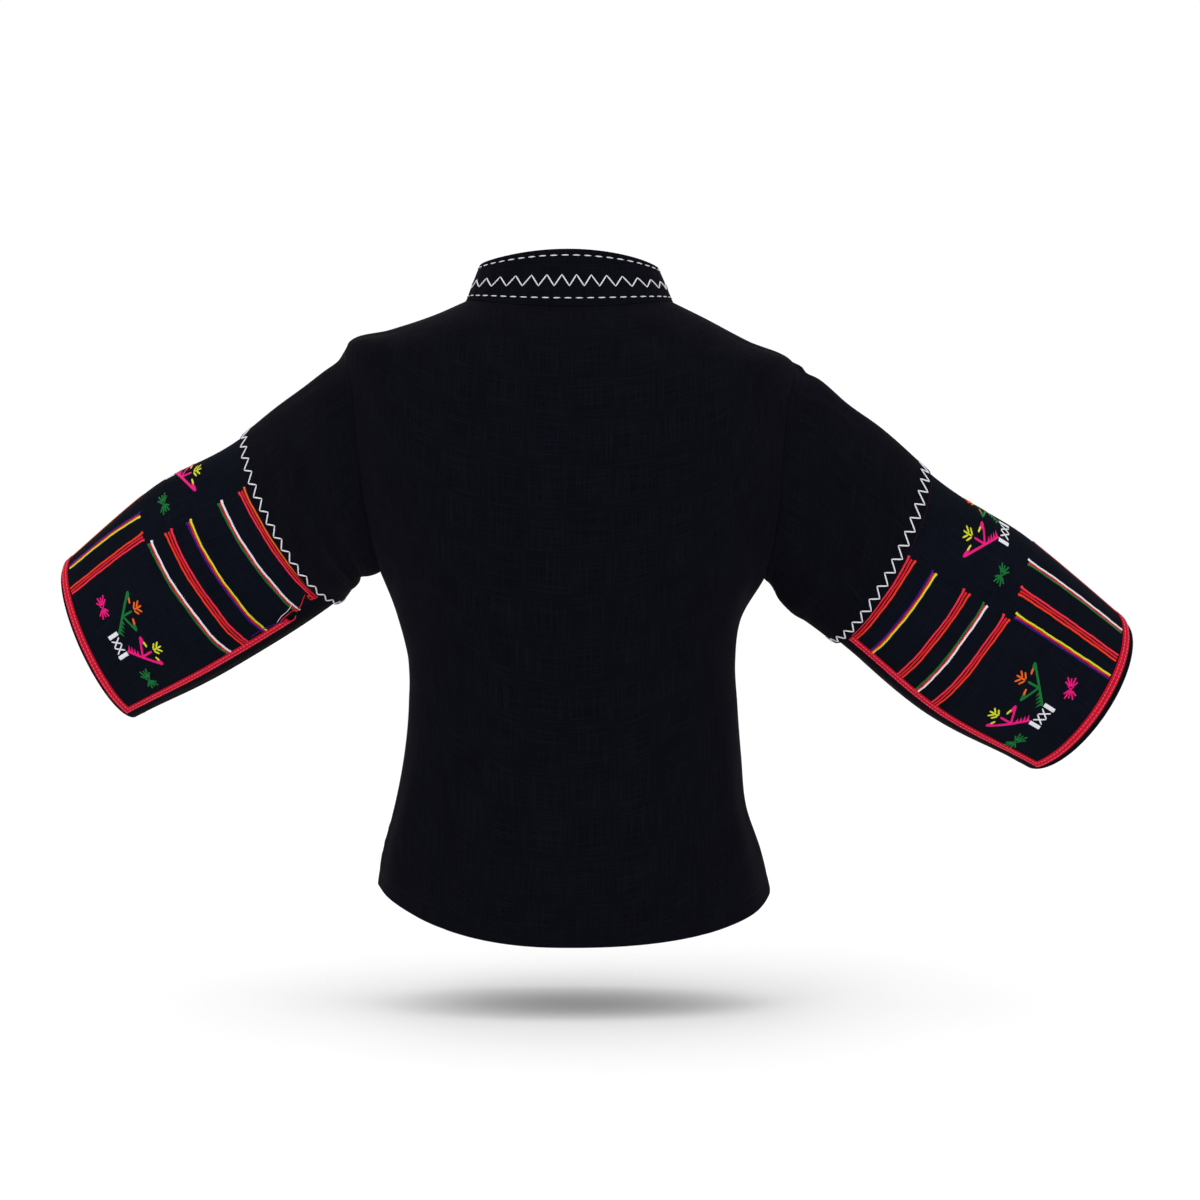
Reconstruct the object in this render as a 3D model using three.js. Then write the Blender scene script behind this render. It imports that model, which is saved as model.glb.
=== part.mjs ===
// A woman's black stand-collar top with elbow-length sleeves, each wrapped in an embroidered band,
// shown filled out as if worn, with nothing inside it.
// Units are millimetres. +Z is up, -Y is the garment's front and +X is the wearer's left.
// The origin lies midway between the two side points of the neckline, where the shoulders hold it up.
import * as THREE from "three";

// Cloth and seams
const CLOTH = 1.5; // thickness of one wall of cloth
const COLLAR_CLOTH = 2.4; // two layers and an interlining
const SEAM_GAP = 0.3; // between two pieces that are sewn together
const LAYER_GAP = 0.3; // between two pieces that lie on each other
const HEAD_GAP = 0.75; // between the sleeve's head and the armhole
const NECK_GAP = 0.55; // between the panels and the collar
const NECK_LIFT = 0.4; // and this share of a panel's lift more

// Front closure
const LAP = 12; // how far each front runs past the centre line
const LAP_CLEAR = 15; // the upper front is raised as far as this from the centre line
const LAP_FADE = 40; // and has come down to the body here
const BUTTONS = 7;
const BUTTON_RADIUS = 5.6;
const BUTTON_THICK = 2.4;
const BUTTON_RIM = 1.7; // width of its raised rim
const BUTTON_DISH = 0.7; // depth of its middle below the rim
const BUTTON_GAP = 0.55; // its flat back clears the curved cloth
const FIRST_BUTTON = 22; // down from the neckline
const LAST_BUTTON = 520;

// Side vents
const VENT_TOP = 575; // where the side seam ends, measured down the side
const VENT_OPEN = 9; // gap at the hem

// Sleeve band
const BAND_MIDDLE = { left: 13, right: 15 }; // degrees from the sleeve's top line towards the back
const BAND_HALF = 142; // degrees from its middle to each bound edge
const BINDING_WIDE = 8;
const BINDING_TURN = 6.4; // the same width, in degrees round the sleeve
const BINDING_PROUD = 0.9; // the binding's crown above the band's face
const BAND_TUCK = 6; // the band's top edge under the upper sleeve
const UPPER_LAP = 3; // the upper sleeve's edge past the seam line
const CUFF_REST = { left: 4, right: 6.5 }; // black sleeve that shows beyond the binding

// Sections of the body, from the neckline to the hem. down is the distance from the neckline over the
// shoulder and down the side. left and right are half widths, back and front are depths from the
// plane y = 0, and the four z columns are the heights at the centre back, each side and the centre front.
// round is the exponent of the section's superellipse, and the fall columns are the power with which
// the height changes from the centre to each side.
const BODY = [
  [
    ...["down", "left", "right", "back", "front"],
    ...["zBack", "zLeft", "zRight", "zFront", "round", "fallLeft", "fallRight"],
  ],
  [0, 93, 92, 62, 75, -10, 0, -1, -72, 2.0, 2.0, 2.0],
  [34, 123, 120, 78, 84, -26, -13, -15, -86, 2.05, 1.8, 1.8],
  [75, 162, 160, 91, 92, -53, -26, -36, -104, 2.05, 1.8, 1.8],
  [112, 197, 198, 101, 101, -86, -36, -53, -126, 2.1, 2.0, 2.0],
  [155, 202, 203, 107, 111, -117, -77, -91, -156, 2.2, 2.0, 2.0],
  [197, 202, 203, 110, 121, -150, -118, -131, -188, 2.3, 2.0, 2.0],
  [239, 197, 200, 108, 128, -183, -159, -170, -218, 2.3, 2.0, 2.0],
  [283, 185, 190, 104, 130, -216, -202, -210, -242, 2.3, 2.0, 2.0],
  [325, 169, 173, 99, 127, -250, -242, -248, -262, 2.3, 2.0, 2.0],
  [362, 154, 152.5, 92, 119, -285, -280, -284, -289, 2.3, 2.0, 2.0],
  [400, 144, 147, 86, 110, -323, -320, -322, -324, 2.3, 2.0, 2.0],
  [440, 143.5, 149, 84, 105, -363, -361, -362, -362, 2.3, 2.0, 2.0],
  [487, 147.5, 152.5, 89, 107, -411, -408, -408, -408, 2.3, 1.9, 1.8],
  [532, 156, 157, 99, 112, -462, -452, -453, -456, 2.3, 1.8, 1.5],
  [571, 166, 170, 109, 118, -514, -489, -492, -503, 2.3, 1.7, 1.2],
  [603, 170.5, 178, 117, 123, -567, -519, -524, -552, 2.3, 1.6, 1.0],
];
const TIP = 112; // where the shoulder seam meets the armhole
const PIT = 325; // the armhole's lowest point, where the side seam starts
const HEM = 603;
const ARMHOLE_BACK = 24; // degrees that the armhole cuts into the back
const ARMHOLE_FRONT = 26;

// The largest soft folds of the body, each a ridge (deep above 0) or a trough along a line from one
// place to another. Angles are degrees round the body from the centre back towards the wearer's left.
const DEGREE_OF_BODY = 2.5; // millimetres of cloth in one degree round the body
const BODY_FOLDS = [
  { angle: 80, down: 345, toAngle: 44, toDown: 270, wide: 16, deep: -3.2 },
  { angle: 78, down: 385, toAngle: 40, toDown: 345, wide: 14, deep: -2.6 },
  { angle: -80, down: 350, toAngle: -48, toDown: 262, wide: 17, deep: -3.4 },
  { angle: -76, down: 392, toAngle: -36, toDown: 360, wide: 14, deep: -2.4 },
  { angle: 20, down: 400, toAngle: 14, toDown: 590, wide: 18, deep: 2.2 },
  { angle: -22, down: 420, toAngle: -17, toDown: 600, wide: 17, deep: 2.4 },
  { angle: 62, down: 480, toAngle: 66, toDown: 603, wide: 20, deep: 2.6 },
  { angle: -64, down: 470, toAngle: -62, toDown: 603, wide: 22, deep: 2.8 },
  { angle: 104, down: 350, toAngle: 142, toDown: 268, wide: 16, deep: -3.4 },
  { angle: -103, down: 352, toAngle: -140, toDown: 262, wide: 17, deep: -3.0 },
  { angle: 112, down: 480, toAngle: 116, toDown: 603, wide: 22, deep: 2.6 },
  { angle: -118, down: 470, toAngle: -114, toDown: 603, wide: 20, deep: 2.4 },
  { angle: 26, down: 40, toAngle: 58, toDown: 150, wide: 17, deep: -2.2 },
  { angle: -24, down: 46, toAngle: -56, toDown: 162, wide: 18, deep: -2.6 },
];

// Waist darts, which run down to the hem, front and back.
const DART_BACK = 37; // degrees from the centre back
const DART_FRONT = 143;
const DART_TOP = 330; // down the body
const DART_FULL = 400; // where it has its full depth
const DART_DEEP = 1.3;
const DART_WIDE = 1.6; // degrees

// Sections of each sleeve. out is the distance along the sleeve from the armhole, x is outwards from
// the centre of the body, high is the half height and deep the half depth. lean tips the section's
// top outwards and yaw turns its back edge outwards, both in degrees.
const SLEEVES = {
  left: [
    { out: 10, x: 191, y: -4.5, z: -146.5, high: 99.5, deep: 52.5, lean: 7, yaw: 4 },
    { out: 27, x: 205, y: -10, z: -153.5, high: 95, deep: 51, lean: 9, yaw: 10 },
    { out: 46, x: 217, y: -21, z: -164, high: 93, deep: 50, lean: 14, yaw: 15 },
    { out: 70, x: 231, y: -34, z: -173, high: 90, deep: 49, lean: 19, yaw: 20 },
    { out: 118, x: 257, y: -60, z: -193, high: 88, deep: 47, lean: 29, yaw: 26 },
    { out: 234, x: 350, y: -107, z: -245.5, high: 93.5, deep: 48, lean: 23, yaw: 26 },
    { out: 354, x: 440, y: -153, z: -301, high: 82.5, deep: 45, lean: 24, yaw: 22 },
  ],
  right: [
    { out: 10, x: 193, y: -4.5, z: -157, high: 96, deep: 52.5, lean: 8, yaw: 4 },
    { out: 27, x: 206, y: -9, z: -167, high: 101, deep: 51, lean: 10, yaw: 9 },
    { out: 46, x: 225, y: -15, z: -184, high: 98, deep: 50, lean: 14, yaw: 13 },
    { out: 70, x: 245, y: -22, z: -197, high: 94, deep: 49, lean: 19, yaw: 17 },
    { out: 118, x: 284, y: -36, z: -228, high: 88, deep: 47, lean: 28, yaw: 22 },
    { out: 234, x: 373, y: -78, z: -290.5, high: 95, deep: 48, lean: 30, yaw: 25 },
    { out: 354, x: 464.5, y: -120, z: -349, high: 85, deep: 47, lean: 33, yaw: 39 },
  ],
};
const SEAM = 113; // along the sleeve, where the band is sewn on
const CUFF = 360; // along the sleeve, the binding's outer edge
const DEGREE_OF_SLEEVE = 1.2; // millimetres of cloth in one degree round a sleeve
const SLEEVE_FOLDS = {
  left: [
    { angle: 160, down: 30, toAngle: 75, toDown: 52, wide: 11, deep: -3.0 },
    { angle: 165, down: 58, toAngle: 85, toDown: 92, wide: 12, deep: -2.6 },
    { angle: -150, down: 34, toAngle: -70, toDown: 60, wide: 12, deep: -3.0 },
    { angle: 120, down: 150, toAngle: 100, toDown: 300, wide: 18, deep: -2.4 },
    { angle: 20, down: 190, toAngle: 35, toDown: 330, wide: 16, deep: 1.6 },
    { angle: -95, down: 160, toAngle: -110, toDown: 320, wide: 18, deep: -2.4 },
    { angle: -4, down: 5, toAngle: 6, toDown: 12, wide: 7, deep: 2.6 },
  ],
  right: [
    { angle: 162, down: 34, toAngle: 80, toDown: 46, wide: 11, deep: -2.8 },
    { angle: 160, down: 66, toAngle: 92, toDown: 96, wide: 13, deep: -2.4 },
    { angle: -152, down: 30, toAngle: -76, toDown: 62, wide: 12, deep: -3.0 },
    { angle: 112, down: 160, toAngle: 92, toDown: 310, wide: 19, deep: -2.2 },
    { angle: 28, down: 170, toAngle: 30, toDown: 320, wide: 17, deep: 1.6 },
    { angle: -100, down: 150, toAngle: -104, toDown: 318, wide: 18, deep: -2.4 },
    { angle: -4, down: 5, toAngle: 6, toDown: 13, wide: 7, deep: 5.4 },
  ],
};
// On the wearer's left sleeve the binding has come off at the top of the band's back edge.
const BINDING_STARTS = { left: { back: 46, front: 2 }, right: { back: 2, front: 2 } };

// The collar: its top ring, and how it is cut away at the front
const COLLAR_WIDE = { left: 80, right: 78, back: 50, front: 66 };
const COLLAR_HIGH = { zBack: 43, zLeft: 34, zRight: 32, zFront: -42 };
const COLLAR_END = 1.5; // each end stops this far from the centre front
const COLLAR_CORNER = 16; // radius of its rounded front corner
const COLLAR_END_HIGH = 0.42; // its height at the very end, as a share of the full height

const COLOURS = {
  black: { color: 0x0b0b12, roughness: 0.85 },
  band: { color: 0x0e0e18, roughness: 0.8 },
  red: { color: 0xc4122c, roughness: 0.65 },
  button: { color: 0x101014, roughness: 0.35 },
};

const radians = THREE.MathUtils.degToRad;

// A smooth curve through the values at the given places. Each slope is the weighted mean of its neighbours'.
function spline(places, values, at) {
  const last = places.length - 1;
  let i = 0;
  while (i < last - 1 && at > places[i + 1]) i += 1;
  const rise = (k) => (values[k + 1] - values[k]) / (places[k + 1] - places[k]);
  const slope = (k) => {
    if (k === 0) return rise(0);
    if (k === last) return rise(last - 1);
    const before = places[k] - places[k - 1];
    const after = places[k + 1] - places[k];
    return (rise(k - 1) * after + rise(k) * before) / (before + after);
  };
  const wide = places[i + 1] - places[i];
  const t = (at - places[i]) / wide;
  const [t2, t3] = [t * t, t * t * t];
  return (
    values[i] * (2 * t3 - 3 * t2 + 1) +
    slope(i) * wide * (t3 - 2 * t2 + t) +
    values[i + 1] * (3 * t2 - 2 * t3) +
    slope(i + 1) * wide * (t3 - t2)
  );
}

// A step from 0 to 1 with soft ends.
function smoothstep(low, high, x) {
  const t = THREE.MathUtils.clamp((x - low) / (high - low), 0, 1);
  return t * t * (3 - 2 * t);
}

// A table's columns by name.
function columnsOf([names, ...rows]) {
  return Object.fromEntries(names.map((name, i) => [name, rows.map((row) => row[i])]));
}

const BODY_COLUMNS = columnsOf(BODY);

// The body's section at a distance down from the neckline.
function section(down) {
  const found = {};
  for (const [name, values] of Object.entries(BODY_COLUMNS)) {
    found[name] = spline(BODY_COLUMNS.down, values, down);
  }
  return found;
}

// A point of a ring: angle is in degrees from the centre back towards the wearer's left.
function ringPoint(ring, angle) {
  const sine = Math.sin(radians(angle));
  const cosine = Math.cos(radians(angle));
  const power = 2 / ring.round;
  const isLeft = sine >= 0;
  const isBack = cosine >= 0;
  const share = Math.abs(cosine) ** (isLeft ? ring.fallLeft : ring.fallRight);
  const zSide = isLeft ? ring.zLeft : ring.zRight;
  const zMiddle = isBack ? ring.zBack : ring.zFront;
  return new THREE.Vector3(
    (isLeft ? ring.left : -ring.right) * Math.abs(sine) ** power,
    (isBack ? ring.back : -ring.front) * Math.abs(cosine) ** power,
    zSide + (zMiddle - zSide) * share,
  );
}

// How far a set of folds moves a point out (above 0) or in.
function foldHeight(folds, degree, angle, down) {
  let height = 0;
  for (const fold of folds) {
    const alongX = (fold.toAngle - fold.angle) * degree;
    const alongY = fold.toDown - fold.down;
    const turned = ((angle - fold.angle + 540) % 360) - 180;
    const x = turned * degree;
    const y = down - fold.down;
    const length2 = alongX * alongX + alongY * alongY;
    const share = (x * alongX + y * alongY) / length2;
    const near = THREE.MathUtils.clamp(share, 0, 1);
    const distance = Math.hypot(x - near * alongX, y - near * alongY);
    height += fold.deep * Math.exp(-((distance / fold.wide) ** 2)) * Math.sin(Math.PI * (0.15 + 0.7 * near));
  }
  return height;
}

// The groove where a dart is sewn.
function dartHeight(angle, down) {
  const away = Math.abs(((angle + 540) % 360) - 180);
  const near = Math.min(Math.abs(away - DART_BACK), Math.abs(away - DART_FRONT));
  return -DART_DEEP * smoothstep(DART_TOP, DART_FULL, down) * Math.exp(-((near / DART_WIDE) ** 2));
}

const bodyBase = (angle, down) => ringPoint(section(down), angle);

// The outward normal of a surface given as a function of two places.
function normalOf(surface, a, b, stepA, stepB, outward) {
  const alongA = surface(a + stepA, b).sub(surface(a - stepA, b));
  const alongB = surface(a, b + stepB).sub(surface(a, b - stepB));
  const normal = alongA.cross(alongB).normalize();
  return outward ? normal : normal.negate();
}

const bodyNormal = (angle, down) => normalOf(bodyBase, angle, down, 0.6, 1, true);

// The body's outer and inner points, moved out by lift. The sections give the cloth's inner face.
function bodyWall(angle, down, lift = 0, thick = CLOTH) {
  const normal = bodyNormal(angle, down);
  const height = foldHeight(BODY_FOLDS, DEGREE_OF_BODY, angle, down) + dartHeight(angle, down) + lift;
  const outer = bodyBase(angle, down).addScaledVector(normal, CLOTH + height);
  return { outer, inner: outer.clone().addScaledVector(normal, -thick) };
}

// A wall of cloth as one closed mesh, from rows of points with an outer and an inner place each.
function wallGeometry(rows, closed = false) {
  const columns = rows[0].length;
  const positions = [];
  for (const side of ["outer", "inner"]) {
    for (const row of rows) for (const point of row) positions.push(...point[side].toArray());
  }
  const half = rows.length * columns;
  const triangles = [];
  const quad = (a, b, c, d) => triangles.push(a, b, c, a, c, d);
  const steps = closed ? columns : columns - 1;
  const at = (row, column) => row * columns + (column % columns);
  for (let row = 0; row + 1 < rows.length; row += 1) {
    for (let column = 0; column < steps; column += 1) {
      const [a, b] = [at(row, column), at(row, column + 1)];
      const [d, c] = [at(row + 1, column), at(row + 1, column + 1)];
      quad(a, b, c, d);
      quad(a + half, d + half, c + half, b + half);
    }
  }
  for (let column = 0; column < steps; column += 1) {
    const [a, b] = [at(0, column), at(0, column + 1)];
    quad(b, a, a + half, b + half);
    const [c, d] = [at(rows.length - 1, column), at(rows.length - 1, column + 1)];
    quad(c, d, d + half, c + half);
  }
  if (!closed) {
    for (let row = 0; row + 1 < rows.length; row += 1) {
      const [a, b] = [at(row, 0), at(row + 1, 0)];
      quad(a, b, b + half, a + half);
      const [c, d] = [at(row, columns - 1), at(row + 1, columns - 1)];
      quad(d, c, c + half, d + half);
    }
  }
  if (signedVolume(positions, triangles) < 0) triangles.reverse();
  const geometry = new THREE.BufferGeometry();
  geometry.setAttribute("position", new THREE.Float32BufferAttribute(positions, 3));
  geometry.setIndex(triangles);
  geometry.computeVertexNormals();
  return geometry;
}

function signedVolume(positions, triangles) {
  const corner = (i) => new THREE.Vector3().fromArray(positions, 3 * i);
  let volume = 0;
  for (let i = 0; i < triangles.length; i += 3) {
    const [a, b, c] = [corner(triangles[i]), corner(triangles[i + 1]), corner(triangles[i + 2])];
    volume += a.dot(b.cross(c)) / 6;
  }
  return volume;
}

const top = new THREE.Group();

function addPiece(name, geometry, look) {
  const mesh = new THREE.Mesh(geometry, new THREE.MeshStandardMaterial({ metalness: 0, ...COLOURS[look] }));
  mesh.name = name;
  top.add(mesh);
  return mesh;
}

// Places round a sleeve's head, in degrees from its top line. They are shared by the armhole's rows, so
// that body and sleeve meet point to point. Further out, two of them become the binding's edges.
const HEAD_INNER = 142;
const HEAD_OUTER = 150;
const HEAD_CORNER = 137; // on the binding's shorter inner edge, beside HEAD_INNER on its outer one
const HALF_TURN = [0, 15, 30, 45, 60, 75, 90, 105, 120, 132, HEAD_INNER, HEAD_OUTER, 160, 170, 180];
const FULL_TURN = [...HALF_TURN, ...HALF_TURN.slice(1, -1).reverse().map((angle) => -angle)];

// The place on the sleeve, a distance out, of a column that starts at headTurn on the sleeve's head.
function turnAt(name, headTurn, out) {
  const sign = Math.sign(headTurn);
  const away = Math.abs(headTurn);
  const edge = BAND_HALF + sign * BAND_MIDDLE[name];
  const inner = edge - BINDING_TURN;
  let warped = (away * inner) / HEAD_INNER;
  if (away > HEAD_INNER) warped = inner + ((away - HEAD_INNER) * BINDING_TURN) / (HEAD_OUTER - HEAD_INNER);
  if (away > HEAD_OUTER) warped = edge + ((away - HEAD_OUTER) * (180 - edge)) / (180 - HEAD_OUTER);
  return sign * (away + (warped - away) * smoothstep(0, SEAM - BAND_TUCK, out));
}

// Evenly spaced numbers from low to high.
function spread(low, high, steps) {
  return Array.from({ length: steps + 1 }, (_, i) => low + ((high - low) * i) / steps);
}

const armholeDown = (turn) => TIP + ((PIT - TIP) * (1 - Math.cos(radians(turn)))) / 2;

// The rows of the body's panels: the shoulder, the armhole and the side.
const BODY_ROWS = [
  ...[0, 20, 44, 68, 91],
  ...HALF_TURN.map(armholeDown),
  ...[345, 366, 390, 414, 440, 466, 490, 514, 537, 558, 575, 589, 603],
];

// The angle that keeps a panel's edge half a seam's gap away from the side line.
function sideGap(down, isBack) {
  const ring = section(down);
  const open = SEAM_GAP / 2 + (VENT_OPEN / 2) * smoothstep(VENT_TOP - 3, HEM, down);
  return THREE.MathUtils.radToDeg((open / (isBack ? ring.back : ring.front)) ** (ring.round / 2));
}

// How far, in degrees, a panel's side edge lies from the side line.
function edgeCut(down, isBack) {
  const share = THREE.MathUtils.clamp((down - TIP) / (PIT - TIP), 0, 1);
  const sine = 2 * Math.sqrt(share * (1 - share));
  return Math.max((isBack ? ARMHOLE_BACK : ARMHOLE_FRONT) * sine, sideGap(down, isBack));
}

// Shares of a half panel from its middle to its side edge. The dart lies at DART_SHARE.
const DART_SHARE = 0.42;
const DART_SIDE = 0.03;
const DART_SHARES = [DART_SHARE - DART_SIDE, DART_SHARE, DART_SHARE + DART_SIDE];
const SHARES = [0, 0.13, 0.27, ...DART_SHARES, 0.54, 0.64, 0.74, 0.84, 0.93, 1];

// The angle at a share of the way from a panel's middle, through its dart, to its side edge.
function panelAngle(share, middle, dart, edge) {
  if (share <= DART_SHARE) return middle + ((dart - middle) * share) / DART_SHARE;
  return dart + ((edge - dart) * (share - DART_SHARE)) / (1 - DART_SHARE);
}

// A panel's wall, whose first row stops short of the collar, and more so where it is lifted.
function panelWall(angle, down, lift = 0) {
  const cloth = bodyBase(angle, 1).distanceTo(bodyBase(angle, 0));
  return bodyWall(angle, Math.max(down, (NECK_GAP + NECK_LIFT * lift) / cloth), lift);
}

function addBack() {
  const rows = BODY_ROWS.map((down) => {
    const edge = 90 - edgeCut(down, true);
    const half = SHARES.map((share) => panelAngle(share, 0, DART_BACK, edge));
    const angles = [...half.slice(1).reverse().map((angle) => -angle), ...half];
    return angles.map((angle) => panelWall(angle, down));
  });
  addPiece("back", wallGeometry(rows), "black");
}

// The angle from the centre front to a place that lies x from it.
function angleOf(x, down) {
  const ring = section(down);
  return THREE.MathUtils.radToDeg(Math.asin((x / ring.left) ** (ring.round / 2)));
}

// side is 1 for the wearer's left front, which lies underneath, and -1 for the right one on top.
function addFront(name, side) {
  const rows = BODY_ROWS.map((down) => {
    const edge = 90 + edgeCut(down, false);
    const lapEnd = 180 - angleOf(LAP_CLEAR, down);
    const half = SHARES.map((share) => panelAngle(share, lapEnd, DART_FRONT, edge));
    return [180 + angleOf(LAP, down), 180, ...half].map((angle) => {
      const x = bodyBase(angle, down).x;
      const lift = side < 0 ? (CLOTH + LAYER_GAP) * (1 - smoothstep(LAP_CLEAR, LAP_FADE, x)) : 0;
      return panelWall(side * angle, down, lift);
    });
  });
  addPiece(name, wallGeometry(rows), "black");
}

// A point of the armhole's edge. turn goes from its top over the back to its bottom and up the front.
// inwards moves the point into the hole, as a share of the hole.
function armholePoint(side, turn, inwards = 0) {
  const keep = 1 - inwards;
  const middle = (TIP + PIT) / 2;
  const down = middle + (armholeDown(turn) - middle) * keep;
  const deep = Math.sin(radians(turn)) >= 0 ? ARMHOLE_BACK : ARMHOLE_FRONT;
  const angle = side * (90 - deep * Math.sin(radians(turn)) * keep);
  return { point: bodyBase(angle, down), angle, down };
}

const SLEEVE_PLACES = [0, ...SLEEVES.left.map((ring) => ring.out)];

// A point of a sleeve's bare surface, at turn degrees round it and a distance out from the armhole.
function sleeveBase(name, turn, out) {
  const side = name === "left" ? 1 : -1;
  const points = [armholePoint(side, turn).point];
  for (const ring of SLEEVES[name]) {
    const [lean, yaw] = [radians(ring.lean), radians(ring.yaw)];
    const up = new THREE.Vector3(side * Math.sin(lean), 0, Math.cos(lean));
    const outwards = new THREE.Vector3(side * Math.cos(lean), 0, -Math.sin(lean));
    const back = new THREE.Vector3(0, Math.cos(yaw), 0).addScaledVector(outwards, Math.sin(yaw));
    const point = new THREE.Vector3(side * ring.x, ring.y, ring.z);
    point.addScaledVector(up, ring.high * Math.cos(radians(turn)));
    point.addScaledVector(back, ring.deep * Math.sin(radians(turn)));
    points.push(point);
  }
  const along = (axis) => spline(SLEEVE_PLACES, points.map((point) => point[axis]), out);
  return new THREE.Vector3(along("x"), along("y"), along("z"));
}

// A sleeve's outer and inner points. lift moves the outer face out from the bare surface.
function sleeveWall(name, turn, out, lift, thick = CLOTH) {
  const surface = (a, b) => sleeveBase(name, a, b);
  const normal = normalOf(surface, turn, out, 0.6, 1, name === "right");
  const height = foldHeight(SLEEVE_FOLDS[name], DEGREE_OF_SLEEVE, turn, out) + lift;
  const outer = sleeveBase(name, turn, out).addScaledVector(normal, height);
  return { outer, inner: outer.clone().addScaledVector(normal, -thick) };
}

// The sleeve's first row, just inside the armhole's edge and as deep as the body's own wall.
function sleeveHead(name) {
  const side = name === "left" ? 1 : -1;
  return FULL_TURN.map((turn) => {
    const edge = armholePoint(side, turn);
    const into = armholePoint(side, turn, 0.02).point.sub(edge.point).normalize();
    const wall = bodyWall(edge.angle, edge.down);
    for (const point of [wall.outer, wall.inner]) point.addScaledVector(into, HEAD_GAP);
    return wall;
  });
}

// The three layers of a sleeve, as the height of each outer face above the bare surface
const BASE_LIFT = -CLOTH - LAYER_GAP;
const UPPER_LIFT = CLOTH + LAYER_GAP;

function addUpperSleeve(name) {
  const rows = [sleeveHead(name)];
  for (const out of [6, 13, 24, 38, 54, 72, 92, SEAM - BAND_TUCK - 2, SEAM + UPPER_LAP]) {
    const lift = UPPER_LIFT * smoothstep(24, SEAM - BAND_TUCK - 4, out);
    rows.push(FULL_TURN.map((turn) => sleeveWall(name, turnAt(name, turn, out), out, lift)));
  }
  addPiece(`sleeve_upper_${name}`, wallGeometry(rows, true), "black");
}

// The rows that the layers below the seam share
const LOWER_ROWS = [SEAM - BAND_TUCK, SEAM + UPPER_LAP, 146, 172, 198, 224, 250, 276, 302, 326];

function addLowerSleeve(name) {
  const inside = CUFF - BINDING_WIDE;
  const places = [...LOWER_ROWS, inside - SEAM_GAP, inside, CUFF, CUFF + CUFF_REST[name]];
  const rows = places.map((out) =>
    FULL_TURN.map((turn) => sleeveWall(name, turnAt(name, turn, out), out, BASE_LIFT)),
  );
  addPiece(`sleeve_lower_${name}`, wallGeometry(rows, true), "black");
}

function addBand(name) {
  const places = [...LOWER_ROWS, CUFF - BINDING_WIDE - SEAM_GAP];
  const edge = HEAD_INNER - SEAM_GAP;
  const half = HALF_TURN.filter((turn) => turn < edge);
  const turns = [-edge, ...half.slice(1).reverse().map((turn) => -turn), ...half, edge];
  const rows = places.map((out) => turns.map((turn) => sleeveWall(name, turnAt(name, turn, out), out, 0)));
  addPiece(`band_${name}`, wallGeometry(rows), "band");
}

// The binding runs down the band's back edge, round the cuff and up its front edge, with mitred corners.
function addBinding(name) {
  const starts = BINDING_STARTS[name];
  const inside = CUFF - BINDING_WIDE;
  const legPlaces = (start) => {
    const first = SEAM + UPPER_LAP + start;
    return [first, ...LOWER_ROWS.filter((out) => out > first + BINDING_WIDE / 2)];
  };
  const legRow = (sign) => (out) => ({ near: [sign * HEAD_INNER, out], far: [sign * HEAD_OUTER, out] });
  const corner = (sign) => ({ near: [sign * HEAD_INNER, inside], far: [sign * HEAD_OUTER, CUFF] });
  const beside = (sign) => ({ near: [sign * HEAD_CORNER, inside], far: [sign * HEAD_INNER, CUFF] });
  const half = HALF_TURN.filter((turn) => turn < HEAD_INNER);
  const cuffTurns = [...half.slice(1).reverse(), ...half.map((turn) => -turn)];
  const path = [
    ...legPlaces(starts.back).map(legRow(1)),
    corner(1),
    beside(1),
    ...cuffTurns.map((turn) => ({ near: [turn, inside], far: [turn, CUFF] })),
    beside(-1),
    corner(-1),
    ...legPlaces(starts.front).reverse().map(legRow(-1)),
  ];
  const rows = path.map(({ near, far }) =>
    [0, 0.5, 1].map((share) => {
      const turn = near[0] + (far[0] - near[0]) * share;
      const out = near[1] + (far[1] - near[1]) * share;
      const crown = share === 0.5 ? BINDING_PROUD : BINDING_PROUD / 2;
      return sleeveWall(name, turnAt(name, turn, out), out, crown, CLOTH + crown);
    }),
  );
  addPiece(`binding_${name}`, wallGeometry(rows), "red");
}

// The collar stands on the neckline, leans in and is lowest at its rounded front corners.
function addCollar() {
  const base = section(0);
  const brim = { ...base, ...COLLAR_WIDE, ...COLLAR_HIGH };
  const end = THREE.MathUtils.radToDeg(COLLAR_END / base.left);
  const corner = THREE.MathUtils.radToDeg(COLLAR_CORNER / base.left);
  const nearEnds = [1, 0.75, 0.5, 0.25, 0.1, 0].map((share) => 180 - end - corner * share);
  const half = [...spread(0, 180 - end - corner, 15).slice(0, -1), ...nearEnds];
  const angles = [...half.slice(1).reverse().map((angle) => -angle), ...half];
  const seam = angles.map((angle) => bodyWall(angle, 0, (COLLAR_CLOTH - CLOTH) / 2, COLLAR_CLOTH));
  const standing = [0.09, 0.38, 0.7, 1].map((share) =>
    angles.map((angle) => {
      const fromEnd = THREE.MathUtils.clamp((180 - Math.abs(angle) - end) / corner, 0, 1);
      const rounded = Math.sqrt(1 - (1 - fromEnd) ** 2);
      const cutHeight = COLLAR_END_HIGH + (1 - COLLAR_END_HIGH) * rounded;
      const low = ringPoint(base, angle);
      const high = ringPoint(brim, angle);
      const middle = low.clone().lerp(high, share * cutHeight);
      const away = new THREE.Vector3(low.x / base.left ** 2, low.y / base.back ** 2, 0).normalize();
      return {
        outer: middle.clone().addScaledVector(away, COLLAR_CLOTH / 2),
        inner: middle.clone().addScaledVector(away, -COLLAR_CLOTH / 2),
      };
    }),
  );
  addPiece("collar", wallGeometry([seam, ...standing]), "black");
}

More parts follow.
